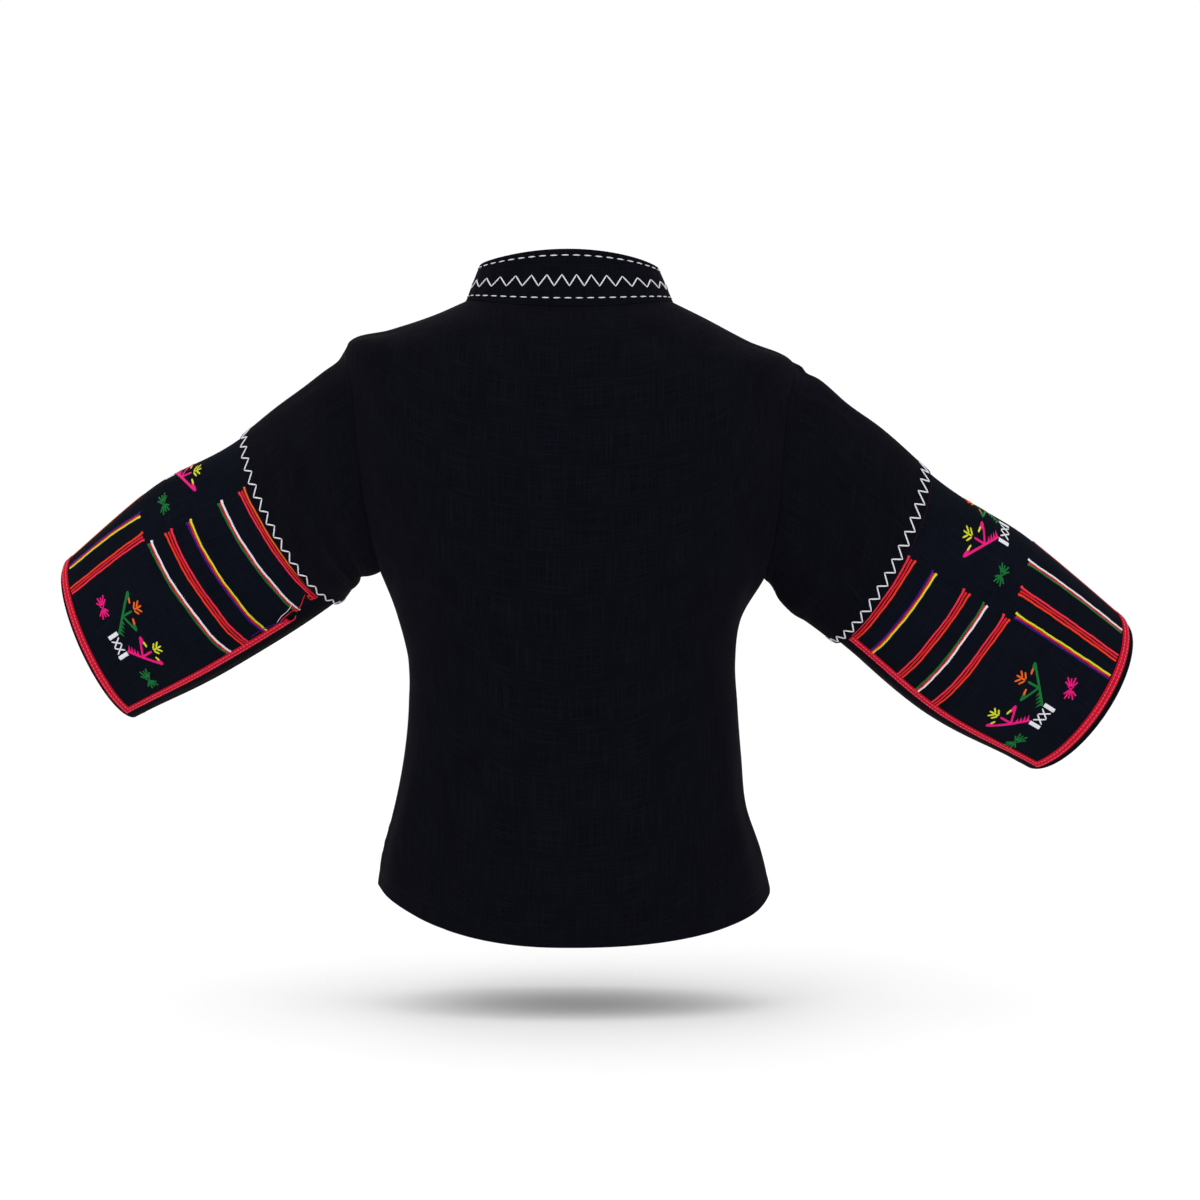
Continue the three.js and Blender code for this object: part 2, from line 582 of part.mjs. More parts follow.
// Where the buttons lie down the centre front, evenly apart along the cloth.
function buttonDowns() {
  const downs = spread(FIRST_BUTTON, LAST_BUTTON, LAST_BUTTON - FIRST_BUTTON);
  const run = [0];
  for (const [i, down] of downs.slice(1).entries()) {
    run.push(run[i] + bodyBase(180, down).distanceTo(bodyBase(180, downs[i])));
  }
  return spread(0, run.at(-1), BUTTONS - 1).map((length) => downs.find((_, i) => run[i] >= length - 0.5));
}

// A flat round button with a rim, lying on the upper front along its centre line.
function addButtons() {
  const profile = [
    [0, 0],
    [BUTTON_RADIUS - 0.7, 0],
    [BUTTON_RADIUS, BUTTON_THICK * 0.4],
    [BUTTON_RADIUS - 0.5, BUTTON_THICK],
    [BUTTON_RADIUS - BUTTON_RIM, BUTTON_THICK - BUTTON_DISH],
    [0, BUTTON_THICK - BUTTON_DISH],
  ].map(([radius, height]) => new THREE.Vector2(radius, height));
  for (const [i, down] of buttonDowns().entries()) {
    const normal = bodyNormal(180, down);
    const face = bodyWall(180, down, CLOTH + LAYER_GAP + BUTTON_GAP).outer;
    const button = addPiece(`button_${i + 1}`, new THREE.LatheGeometry(profile, 16), "button");
    button.quaternion.setFromUnitVectors(new THREE.Vector3(0, 1, 0), normal);
    button.position.copy(face);
  }
}

addBack();
addFront("front_left", 1);
addFront("front_right", -1);
addCollar();
for (const name of ["left", "right"]) {
  addUpperSleeve(name);
  addLowerSleeve(name);
  addBand(name);
  addBinding(name);
}
addButtons();

export default top;
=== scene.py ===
import bpy
import numpy as np
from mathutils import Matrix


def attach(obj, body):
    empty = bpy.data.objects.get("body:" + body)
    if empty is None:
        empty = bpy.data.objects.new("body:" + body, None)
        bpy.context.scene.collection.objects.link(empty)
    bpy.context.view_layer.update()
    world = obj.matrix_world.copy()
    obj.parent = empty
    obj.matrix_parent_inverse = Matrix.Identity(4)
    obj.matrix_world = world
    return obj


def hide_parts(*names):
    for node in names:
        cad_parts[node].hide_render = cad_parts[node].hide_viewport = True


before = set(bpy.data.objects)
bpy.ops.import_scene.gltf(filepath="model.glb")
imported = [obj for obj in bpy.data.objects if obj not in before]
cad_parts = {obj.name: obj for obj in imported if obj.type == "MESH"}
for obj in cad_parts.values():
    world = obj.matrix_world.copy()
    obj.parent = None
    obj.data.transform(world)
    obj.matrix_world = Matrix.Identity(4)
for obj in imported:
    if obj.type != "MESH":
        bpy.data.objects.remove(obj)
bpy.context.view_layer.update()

METRES = 0.001
SIDES = ("left", "right")

# Cloth and seams
CLOTH = 1.5
COLLAR_CLOTH = 2.4
SEAM_GAP = 0.3
LAYER_GAP = 0.3
HEAD_GAP = 0.75
NECK_GAP = 0.55
NECK_LIFT = 0.4

# Front closure
LAP = 12
LAP_CLEAR = 15
LAP_FADE = 40
BUTTONS = 7
BUTTON_GAP = 0.55
FIRST_BUTTON = 22
LAST_BUTTON = 520

# Side vents, darts and armholes
VENT_TOP = 575
VENT_OPEN = 9
DART_BACK = 37
DART_FRONT = 143
DART_TOP = 330
DART_FULL = 400
DART_DEEP = 1.3
DART_WIDE = 1.6
DART_SHARE = 0.42
TIP = 112
PIT = 325
HEM = 603
ARMHOLE_BACK = 24
ARMHOLE_FRONT = 26

# Sleeve, band and binding
SEAM = 113
CUFF = 360
CUFF_REST = {"left": 4, "right": 6.5}
BAND_MIDDLE = {"left": 13, "right": 15}
BAND_HALF = 142
BAND_TUCK = 6
UPPER_LAP = 3
BINDING_WIDE = 8
BINDING_TURN = 6.4
BINDING_STARTS = {"left": (46, 2), "right": (2, 2)}
BASE_LIFT = -CLOTH - LAYER_GAP
UPPER_LIFT = CLOTH + LAYER_GAP
DEGREE_OF_BODY = 2.5
DEGREE_OF_SLEEVE = 1.2

# Collar
COLLAR_WIDE = {"left": 80, "right": 78, "back": 50, "front": 66}
COLLAR_HIGH = {"zBack": 43, "zLeft": 34, "zRight": 32, "zFront": -42}
COLLAR_END = 1.5
COLLAR_CORNER = 16
COLLAR_END_HIGH = 0.42


def columns_of(names, *rows):
    """A table's columns by name."""
    return {name: np.array([row[i] for row in rows], float) for i, name in enumerate(names.split())}


# Sections of the body from the neckline to the hem
BODY = columns_of(
    "down left right back front zBack zLeft zRight zFront round fallLeft fallRight",
    [0, 93, 92, 62, 75, -10, 0, -1, -72, 2.0, 2.0, 2.0],
    [34, 123, 120, 78, 84, -26, -13, -15, -86, 2.05, 1.8, 1.8],
    [75, 162, 160, 91, 92, -53, -26, -36, -104, 2.05, 1.8, 1.8],
    [112, 197, 198, 101, 101, -86, -36, -53, -126, 2.1, 2.0, 2.0],
    [155, 202, 203, 107, 111, -117, -77, -91, -156, 2.2, 2.0, 2.0],
    [197, 202, 203, 110, 121, -150, -118, -131, -188, 2.3, 2.0, 2.0],
    [239, 197, 200, 108, 128, -183, -159, -170, -218, 2.3, 2.0, 2.0],
    [283, 185, 190, 104, 130, -216, -202, -210, -242, 2.3, 2.0, 2.0],
    [325, 169, 173, 99, 127, -250, -242, -248, -262, 2.3, 2.0, 2.0],
    [362, 154, 152.5, 92, 119, -285, -280, -284, -289, 2.3, 2.0, 2.0],
    [400, 144, 147, 86, 110, -323, -320, -322, -324, 2.3, 2.0, 2.0],
    [440, 143.5, 149, 84, 105, -363, -361, -362, -362, 2.3, 2.0, 2.0],
    [487, 147.5, 152.5, 89, 107, -411, -408, -408, -408, 2.3, 1.9, 1.8],
    [532, 156, 157, 99, 112, -462, -452, -453, -456, 2.3, 1.8, 1.5],
    [571, 166, 170, 109, 118, -514, -489, -492, -503, 2.3, 1.7, 1.2],
    [603, 170.5, 178, 117, 123, -567, -519, -524, -552, 2.3, 1.6, 1.0],
)

# Sections of each sleeve
SLEEVE_COLUMNS = "out x y z high deep lean yaw"
SLEEVES = {
    "left": columns_of(
        SLEEVE_COLUMNS,
        [10, 191, -4.5, -146.5, 99.5, 52.5, 7, 4],
        [27, 205, -10, -153.5, 95, 51, 9, 10],
        [46, 217, -21, -164, 93, 50, 14, 15],
        [70, 231, -34, -173, 90, 49, 19, 20],
        [118, 257, -60, -193, 88, 47, 29, 26],
        [234, 350, -107, -245.5, 93.5, 48, 23, 26],
        [354, 440, -153, -301, 82.5, 45, 24, 22],
    ),
    "right": columns_of(
        SLEEVE_COLUMNS,
        [10, 193, -4.5, -157, 96, 52.5, 8, 4],
        [27, 206, -9, -167, 101, 51, 10, 9],
        [46, 225, -15, -184, 98, 50, 14, 13],
        [70, 245, -22, -197, 94, 49, 19, 17],
        [118, 284, -36, -228, 88, 47, 28, 22],
        [234, 373, -78, -290.5, 95, 48, 30, 25],
        [354, 464.5, -120, -349, 85, 47, 33, 39],
    ),
}

# Soft folds, each a ridge (deep above 0) or a trough along a line from one place to another. The first
# rows of each table are the solids' own, and the finer creases follow them.
FOLD_COLUMNS = "angle down toAngle toDown wide deep"
BODY_FOLDS = columns_of(
    FOLD_COLUMNS,
    [80, 345, 44, 270, 16, -3.2],
    [78, 385, 40, 345, 14, -2.6],
    [-80, 350, -48, 262, 17, -3.4],
    [-76, 392, -36, 360, 14, -2.4],
    [20, 400, 14, 590, 18, 2.2],
    [-22, 420, -17, 600, 17, 2.4],
    [62, 480, 66, 603, 20, 2.6],
    [-64, 470, -62, 603, 22, 2.8],
    [104, 350, 142, 268, 16, -3.4],
    [-103, 352, -140, 262, 17, -3.0],
    [112, 480, 116, 603, 22, 2.6],
    [-118, 470, -114, 603, 20, 2.4],
    [26, 40, 58, 150, 17, -2.2],
    [-24, 46, -56, 162, 18, -2.6],
    # From the back of each armhole
    [66, 300, 45, 236, 7, -1.3],
    [70, 318, 38, 296, 6, -1.1],
    [58, 190, 50, 262, 8, 0.9],
    [-64, 306, -41, 232, 8, -1.4],
    [-71, 322, -35, 305, 6, -1.0],
    [-57, 180, -52, 250, 8, 0.9],
    # Across the waist
    [86, 398, 58, 392, 5, -1.1],
    [84, 422, 62, 430, 6, -0.9],
    [60, 372, 30, 358, 6, -0.8],
    [-85, 404, -60, 396, 5, -1.1],
    [-82, 430, -58, 441, 6, -1.0],
    [-52, 380, -28, 372, 6, -0.7],
    [96, 410, 126, 400, 6, -1.1],
    [-97, 402, -124, 412, 6, -1.1],
    [100, 372, 132, 350, 7, -1.0],
    [-101, 378, -134, 344, 7, -1.0],
    # Down the skirt
    [30, 470, 28, 598, 9, 1.0],
    [-33, 480, -36, 600, 8, 0.9],
    [48, 520, 51, 603, 10, -1.2],
    [-47, 510, -49, 603, 10, -1.1],
    [3, 500, 1, 603, 11, 0.9],
    [80, 520, 82, 603, 9, 1.1],
    [-80, 516, -83, 603, 9, 1.1],
    [130, 500, 132, 603, 11, 1.1],
    [-132, 490, -130, 603, 11, 1.0],
    [158, 500, 160, 603, 10, -0.9],
    [-160, 510, -158, 603, 10, -0.9],
    # Below the collar and at the shoulders
    [10, 12, 18, 60, 6, -0.8],
    [-14, 10, -22, 66, 6, -0.8],
    [70, 70, 78, 108, 6, -0.9],
    [-70, 64, -79, 106, 7, -1.0],
    [150, 70, 128, 200, 9, -1.2],
    [-150, 64, -127, 196, 9, -1.2],
    [120, 300, 148, 290, 8, -1.0],
    [-118, 306, -150, 284, 8, -1.0],
    # Puckers beside the side seams, just above the vents
    [88, 547, 78, 541, 3.2, -0.9],
    [88, 558, 76, 556, 3.0, -1.1],
    [88, 568, 79, 572, 3.0, -0.9],
    [-88, 562, -79, 558, 3.2, -0.8],
    [-88, 572, -81, 577, 2.8, -0.7],
    [92, 560, 101, 556, 3.2, -0.9],
    [-92, 563, -102, 560, 3.2, -0.9],
)
SLEEVE_FOLDS = {
    "left": columns_of(
        FOLD_COLUMNS,
        [160, 30, 75, 52, 11, -3.0],
        [165, 58, 85, 92, 12, -2.6],
        [-150, 34, -70, 60, 12, -3.0],
        [120, 150, 100, 300, 18, -2.4],
        [20, 190, 35, 330, 16, 1.6],
        [-95, 160, -110, 320, 18, -2.4],
        [-4, 5, 6, 12, 7, 2.6],
        # Finer creases
        [172, 20, 118, 30, 5, -1.1],
        [176, 44, 120, 66, 5, -1.0],
        [60, 20, 84, 84, 8, 0.9],
        [30, 14, 22, 70, 7, -0.8],
        [-176, 22, -120, 34, 5, -1.1],
        [-172, 50, -110, 84, 6, -1.0],
        [-40, 18, -32, 80, 8, -0.9],
        [96, 136, 82, 214, 9, -0.8],
        [150, 140, 138, 210, 8, -0.9],
        [66, 230, 58, 340, 10, 0.8],
        [140, 250, 132, 352, 9, 0.8],
        [176, 150, 172, 330, 8, -1.2],
        [-40, 170, -50, 300, 10, 0.8],
        [-150, 160, -156, 320, 9, -1.1],
    ),
    "right": columns_of(
        FOLD_COLUMNS,
        [162, 34, 80, 46, 11, -2.8],
        [160, 66, 92, 96, 13, -2.4],
        [-152, 30, -76, 62, 12, -3.0],
        [112, 160, 92, 310, 19, -2.2],
        [28, 170, 30, 320, 17, 1.6],
        [-100, 150, -104, 318, 18, -2.4],
        [-4, 5, 6, 13, 7, 5.4],
        # Finer creases
        [174, 22, 116, 28, 5, -1.0],
        [172, 50, 124, 74, 5, -1.1],
        [56, 22, 78, 90, 8, 0.8],
        [34, 16, 26, 66, 7, -0.8],
        [-174, 20, -118, 36, 5, -1.1],
        [-170, 54, -112, 80, 6, -1.0],
        [-44, 20, -36, 86, 8, -0.9],
        [90, 134, 76, 220, 9, -0.8],
        [146, 146, 134, 204, 8, -0.8],
        [62, 240, 54, 346, 10, 0.8],
        [138, 236, 128, 350, 9, 0.9],
        [178, 146, 174, 336, 8, -1.2],
        [-46, 160, -52, 310, 10, 0.8],
        [-148, 170, -154, 330, 9, -1.1],
    ),
}


# Curves and surfaces


def spline(places, values, at):
    """A smooth curve through values, whose first axis runs over places. Each slope is a weighted mean."""
    at = np.asarray(at, float)
    wide = np.diff(places).reshape((-1,) + (1,) * (values.ndim - 1))
    rise = np.diff(values, axis=0) / wide
    inner = (rise[:-1] * wide[1:] + rise[1:] * wide[:-1]) / (wide[1:] + wide[:-1])
    slope = np.concatenate([rise[:1], inner, rise[-1:]])
    i = np.clip(np.searchsorted(places, at) - 1, 0, len(places) - 2)
    t = (at - places[i]) / (places[i + 1] - places[i])
    step = places[i + 1] - places[i]
    if values.ndim == 1:

        def pick(table, k):
            return table[k]
    else:
        t, step = t[..., None], step[..., None]

        def pick(table, k):
            return np.take_along_axis(table, k[None, ..., None], 0)[0]

    return (
        pick(values, i) * (2 * t**3 - 3 * t**2 + 1)
        + pick(slope, i) * step * (t**3 - 2 * t**2 + t)
        + pick(values, i + 1) * (3 * t**2 - 2 * t**3)
        + pick(slope, i + 1) * step * (t**3 - t**2)
    )


def smoothstep(low, high, x):
    """A step from 0 to 1 with soft ends."""
    t = np.clip((x - low) / (high - low), 0, 1)
    return t * t * (3 - 2 * t)


def unit(vectors):
    return vectors / np.maximum(np.linalg.norm(vectors, axis=-1, keepdims=True), 1e-9)


def section(down):
    """The body's section at each distance down from the neckline."""
    return {name: spline(BODY["down"], values, down) for name, values in BODY.items()}


def ring_point(ring, angle):
    sine, cosine = np.sin(np.radians(angle)), np.cos(np.radians(angle))
    power = 2 / ring["round"]
    is_left, is_back = sine >= 0, cosine >= 0
    share = np.abs(cosine) ** np.where(is_left, ring["fallLeft"], ring["fallRight"])
    z_side = np.where(is_left, ring["zLeft"], ring["zRight"])
    z_middle = np.where(is_back, ring["zBack"], ring["zFront"])
    x = np.where(is_left, ring["left"], -ring["right"]) * np.abs(sine) ** power
    y = np.where(is_back, ring["back"], -ring["front"]) * np.abs(cosine) ** power
    return np.stack([x, y, z_side + (z_middle - z_side) * share], -1)


def body_base(angle, down):
    angle, down = np.broadcast_arrays(np.asarray(angle, float), np.asarray(down, float))
    return ring_point(section(down), angle)


STEP_ROUND, STEP_ALONG = 0.6, 1.0  # how far to each side a normal looks, in degrees and mm


def normal_of(surface, a, b, flip):
    """The outward normal of a surface given as a function of two places."""
    along_a = surface(a + STEP_ROUND, b) - surface(a - STEP_ROUND, b)
    along_b = surface(a, b + STEP_ALONG) - surface(a, b - STEP_ALONG)
    return unit(np.cross(along_a, along_b)) * (-1 if flip else 1)


FOLD_FROM, FOLD_OVER = 0.15, 0.7  # the part of a half wave that a fold's depth runs through


def fold_height(folds, degree, angle, down):
    """How far a table of folds moves each point out (above 0) or in."""
    height = np.zeros(np.broadcast(angle, down).shape)
    rows = zip(*(folds[name] for name in FOLD_COLUMNS.split()))
    for start, top, to_angle, to_down, wide, deep in rows:
        along_x, along_y = (to_angle - start) * degree, to_down - top
        x = (((angle - start + 540) % 360) - 180) * degree
        y = down - top
        near = np.clip((x * along_x + y * along_y) / (along_x**2 + along_y**2), 0, 1)
        distance = np.hypot(x - near * along_x, y - near * along_y)
        height += deep * np.exp(-((distance / wide) ** 2)) * np.sin(np.pi * (FOLD_FROM + FOLD_OVER * near))
    return height


def slack(a, b, scale):
    """The gentle unevenness of cloth that nothing stretches: slow waves under shorter ones."""
    slow = np.sin(a / 31 + b / 47) * np.sin(b / 38 - a / 83)
    short = 0.5 * np.sin(a / 13 + 1.7) * np.sin(b / 17 + 0.6)
    return scale * (slow + short)


def dart_height(angle, down):
    away = np.abs(((angle + 540) % 360) - 180)
    near = np.minimum(np.abs(away - DART_BACK), np.abs(away - DART_FRONT))
    return -DART_DEEP * smoothstep(DART_TOP, DART_FULL, down) * np.exp(-((near / DART_WIDE) ** 2))


HEM_STITCH = 11  # the hem's stitching above the edge
HEM_DIP, HEM_DIP_WIDE = 0.35, 1.1  # how the stitching pulls the cloth in
SLACK = 0.22


def body_face(angle, down, lift=0.0):
    """The body's outer face and its normal."""
    angle, down = np.broadcast_arrays(np.asarray(angle, float), np.asarray(down, float))
    normal = normal_of(body_base, angle, down, False)
    height = fold_height(BODY_FOLDS, DEGREE_OF_BODY, angle, down) + dart_height(angle, down)
    height = height + slack(angle * DEGREE_OF_BODY, down, SLACK)
    height = height - HEM_DIP * np.exp(-(((down - HEM + HEM_STITCH) / HEM_DIP_WIDE) ** 2))
    return body_base(angle, down) + normal * (CLOTH + height + lift)[..., None], normal


def armhole_down(turn):
    return TIP + (PIT - TIP) * (1 - np.cos(np.radians(turn))) / 2


def armhole_point(side, turn, inwards=0.0):
    """The armhole's edge: its point, and its place on the body."""
    sign = 1 if side == "left" else -1
    sine = np.sin(np.radians(turn))
    middle = (TIP + PIT) / 2
    down = middle + (armhole_down(turn) - middle) * (1 - inwards)
    deep = np.where(sine >= 0, ARMHOLE_BACK, ARMHOLE_FRONT)
    angle = sign * (90 - deep * sine * (1 - inwards))
    return body_base(angle, down), angle, down


def sleeve_base(side, turn, out):
    turn, out = np.broadcast_arrays(np.asarray(turn, float), np.asarray(out, float))
    sign = 1 if side == "left" else -1
    rings = SLEEVES[side]
    sine, cosine = np.sin(np.radians(turn))[..., None], np.cos(np.radians(turn))[..., None]
    points = [armhole_point(side, turn)[0]]
    for k in range(len(rings["out"])):
        lean, yaw = np.radians(rings["lean"][k]), np.radians(rings["yaw"][k])
        up = np.array([sign * np.sin(lean), 0, np.cos(lean)])
        outwards = np.array([sign * np.cos(lean), 0, -np.sin(lean)])
        back = np.array([0, np.cos(yaw), 0]) + outwards * np.sin(yaw)
        middle = np.array([sign * rings["x"][k], rings["y"][k], rings["z"][k]])
        points.append(middle + up * rings["high"][k] * cosine + back * rings["deep"][k] * sine)
    return spline(np.concatenate([[0.0], rings["out"]]), np.stack(points), out)


def sleeve_face(side, turn, out, lift=0.0):
    """A sleeve's face at a lift above its bare surface, and its normal."""
    turn, out = np.broadcast_arrays(np.asarray(turn, float), np.asarray(out, float))
    normal = normal_of(lambda a, b: sleeve_base(side, a, b), turn, out, side == "left")
    height = fold_height(SLEEVE_FOLDS[side], DEGREE_OF_SLEEVE, turn, out)
    height = height + slack(turn * DEGREE_OF_SLEEVE, out, SLACK) * smoothstep(8, 40, out) + lift
    return sleeve_base(side, turn, out) + normal * height[..., None], normal


def upper_lift(out):
    return UPPER_LIFT * smoothstep(24, SEAM - BAND_TUCK - 4, out)


HEAD_INNER = 142
HEAD_OUTER = 150


def band_turn(side, head_turn):
    """Where a place on the band, given as on the sleeve's head, lies round the sleeve."""
    sign, away = np.sign(head_turn), np.abs(head_turn)
    edge = BAND_HALF + sign * BAND_MIDDLE[side]
    inner = edge - BINDING_TURN
    warped = away * inner / HEAD_INNER
    outside = inner + (away - HEAD_INNER) * BINDING_TURN / (HEAD_OUTER - HEAD_INNER)
    return sign * np.where(away > HEAD_INNER, outside, warped)


def band_edge(side, sign):
    """The turn at which the band's cloth ends, at its back edge (sign 1) or its front edge."""
    return float(band_turn(side, np.float64(sign * HEAD_INNER)))


# Meshes


def add_piece(mesh, looks, sharp):
    """The piece of a mesh: its materials, smooth shading and the edges that stay sharp past an angle."""
    for look in looks:
        mesh.materials.append(look)
    mesh.update(calc_edges=True)
    mesh.shade_smooth()
    mesh.set_sharp_from_angle(angle=np.radians(sharp))
    piece = bpy.data.objects.new(mesh.name, mesh)
    bpy.context.scene.collection.objects.link(piece)
    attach(piece, "root")
    return piece


def place_on_cloth(mesh, uvs):
    """Gives each corner of the faces its place on the cloth, in millimetres."""
    layer = mesh.uv_layers.new(name="cloth")
    layer.data.foreach_set("uv", (uvs * METRES).astype(np.float32).ravel())


def mesh_of_quads(name, points, quads, uvs):
    """A mesh from points in millimetres, quads and the places of their corners on the cloth."""
    mesh = bpy.data.meshes.new(name)
    mesh.vertices.add(len(points))
    mesh.vertices.foreach_set("co", (points * METRES).astype(np.float32).ravel())
    mesh.loops.add(4 * len(quads))
    mesh.loops.foreach_set("vertex_index", quads.astype(np.int32).ravel())
    mesh.polygons.add(len(quads))
    mesh.polygons.foreach_set("loop_start", np.arange(0, 4 * len(quads), 4, dtype=np.int32))
    mesh.polygons.foreach_set("loop_total", np.full(len(quads), 4, dtype=np.int32))
    place_on_cloth(mesh, uvs)
    mesh.update(calc_edges=True)
    mesh.validate()
    return mesh


WALL_SHARP, THREAD_SHARP, BUTTON_SHARP = 50, 80, 60  # degrees


def lengths_along(points, axis):
    """The distance of each point from the first along one axis of a grid."""
    steps = np.linalg.norm(np.diff(points, axis=axis), axis=-1)
    first = np.zeros_like(np.take(steps, [0], axis))
    return np.concatenate([first, np.cumsum(steps, axis)], axis)


def wall(name, outer, inner, closed, look):
    """A closed wall of cloth from two grids of points, its outer and its inner face."""
    rows, columns = outer.shape[:2]
    ring = np.concatenate([outer, outer[:, :1]], 1) if closed else outer
    across, along = lengths_along(ring, 1), lengths_along(ring, 0)
    across = across - across[:, ring.shape[1] // 2][:, None]
    places = np.stack([across, along], -1)
    steps = ring.shape[1] - 1
    row, column = (grid.ravel() for grid in np.indices((rows - 1, steps)))
    half = rows * columns

    def corner(r, c):
        return r * columns + c % columns

    def faces(*pairs):
        points = np.stack([corner(r, c) + layer * half for r, c, layer in pairs], -1)
        shown = np.stack([places[r, c] for r, c, _ in pairs], -2)
        return points, shown

    top, left = np.zeros(steps, int), np.zeros(rows - 1, int)
    step, down = np.arange(steps), np.arange(rows - 1)
    last, right = top + rows - 1, left + columns - 1
    sets = [
        faces((row, column, 0), (row, column + 1, 0), (row + 1, column + 1, 0), (row + 1, column, 0)),
        faces((row, column, 1), (row + 1, column, 1), (row + 1, column + 1, 1), (row, column + 1, 1)),
        faces((top, step + 1, 0), (top, step, 0), (top, step, 1), (top, step + 1, 1)),
        faces((last, step, 0), (last, step + 1, 0), (last, step + 1, 1), (last, step, 1)),
    ]
    if not closed:
        sets.append(faces((down, left, 0), (down + 1, left, 0), (down + 1, left, 1), (down, left, 1)))
        sets.append(faces((down + 1, right, 0), (down, right, 0), (down, right, 1), (down + 1, right, 1)))
    quads = np.concatenate([found[0] for found in sets])
    uvs = np.concatenate([found[1] for found in sets])
    points = np.concatenate([outer.reshape(-1, 3), inner.reshape(-1, 3)])
    a, b, c, d = (points[quads[:, k]] for k in range(4))
    volume = (np.cross(a, b) * c).sum() + (np.cross(a, c) * d).sum()
    if volume < 0:
        quads, uvs = quads[:, ::-1], uvs[:, ::-1]
    piece = add_piece(mesh_of_quads(name, points, quads, uvs), [look], WALL_SHARP)
    piece["flat"] = [float(across.max() - across.min()), float(along.max())]
    e, f = outer[1:, 1:] - outer[:-1, :-1], outer[1:, :-1] - outer[:-1, 1:]
    piece["area"] = float(np.linalg.norm(np.cross(e, f), axis=-1).sum() / 2)
    return piece


def declare(piece, slot, held, rests_on, *nodes, least_wide=10):
    """Hides the solids that a wall of cloth stands for and works out its flat size. Its finish is not used.
    """
    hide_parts(*nodes)
    wide, long = piece["flat"]
    wide, long = max(wide, least_wide), max(long, least_wide)


class Threads:
    """Collects raised threads, each a closed ribbon with a lens-shaped section, for one joined mesh."""

    ACROSS = np.array([-0.5, -0.32, 0.0, 0.32, 0.5, 0.3, -0.3])
    RAISED = np.array([0.12, 0.74, 1.0, 0.74, 0.12, 0.0, 0.0])
    SUNK = 0.12  # the underside lies this far inside the cloth

    def __init__(self, name, palette):
        self.name, self.palette = name, list(palette)
        self.points, self.quads, self.uvs, self.kinds, self.count = [], [], [], [], 0

    def lay(self, points, normals, wide, high, colour, start=0.0):
        """One thread along points on a surface. wide and high may change along it."""
        points = np.asarray(points, float)
        steps, sides = len(points), len(self.ACROSS)
        wide = np.broadcast_to(np.asarray(wide, float), steps)
        high = np.broadcast_to(np.asarray(high, float), steps)
        tangent = unit(np.gradient(points, axis=0))
        side = unit(np.cross(normals, tangent))
        section = points[:, None] + side[:, None] * (wide[:, None] * self.ACROSS)[..., None]
        lift = (high[:, None] + self.SUNK) * self.RAISED - self.SUNK
        section = section + normals[:, None] * lift[..., None]
        ends = np.stack([section[0].mean(0), section[-1].mean(0)])
        length = np.concatenate([[0], np.cumsum(np.linalg.norm(np.diff(points, axis=0), axis=1))]) + start
        row, column = (grid.ravel() for grid in np.indices((steps - 1, sides)))
        after = (column + 1) % sides
        corners = ((row, column, column), (row + 1, column, column),
                   (row + 1, column + 1, after), (row, column + 1, after))
        quads = [np.stack([r * sides + point for r, _, point in corners], -1)]
        around = np.concatenate([self.ACROSS, self.ACROSS[:1]]) * wide.max()
        uvs = [np.stack([np.stack([length[r], around[c]], -1) for r, c, _ in corners], 1)]
        first, last = steps * sides, steps * sides + 1
        for middle, at, way in ((first, 0, 1), (last, steps - 1, -1)):
            for k in range(0, sides - 1, 2):
                ring = [at * sides + k, at * sides + k + 1, at * sides + (k + 2) % sides, middle]
                quads.append(np.array([ring[::way]]))
                uvs.append(np.full((1, 4, 2), [length[at], 0.0]))
            last_face = [at * sides + sides - 1, at * sides, middle]
            quads.append(np.array([last_face[::way] + [-1]]))
            uvs.append(np.full((1, 4, 2), [length[at], 0.0]))
        found = np.concatenate(quads)
        self.quads.append(np.where(found < 0, -1, found + self.count))
        self.uvs.append(np.concatenate(uvs))
        self.points.append(np.concatenate([section.reshape(-1, 3), ends]))
        self.kinds.append(np.full(len(found), self.palette.index(colour)))
        self.count += steps * sides + 2

    def dash(self, points, normals, length, gap, wide, high, colour):
        """Running stitches along a line, each a short thread with rounded ends."""
        along = np.concatenate([[0], np.cumsum(np.linalg.norm(np.diff(points, axis=0), axis=1))])
        begin = gap / 2
        while begin + length < along[-1]:
            at = np.linspace(begin, begin + length, 7)
            spot = np.stack([np.interp(at, along, points[:, k]) for k in range(3)], -1)
            up = unit(np.stack([np.interp(at, along, normals[:, k]) for k in range(3)], -1))
            ends = np.array([0.35, 0.8, 1, 1, 1, 0.8, 0.35])
            self.lay(spot, up, wide * ends, high * ends, colour)
            begin += length + gap

    def piece(self, slot):
        """Makes the joined mesh, with its palette's materials; the slot is not used. A triangle's fourth
        corner is marked -1.
        """
        collected = (self.quads, self.points, self.uvs, self.kinds)
        quads, points, uvs, kinds = (np.concatenate(part) for part in collected)
        mesh = bpy.data.meshes.new(self.name)
        faces = [[v for v in face if v >= 0] for face in quads.tolist()]
        mesh.from_pydata((points * METRES).tolist(), [], faces)
        place_on_cloth(mesh, uvs[quads >= 0])
        mesh.polygons.foreach_set("material_index", kinds.astype(np.int32))
        add_piece(mesh, [LOOKS[look] for look in self.palette], THREAD_SHARP)


# Materials


def colour_of(red, green, blue):
    """A linear colour from 8-bit red, green and blue."""
    share = np.array([red, green, blue]) / 255
    linear = np.where(share <= 0.04045, share / 12.92, ((share + 0.055) / 1.055) ** 2.4)
    return (*linear.tolist(), 1.0)


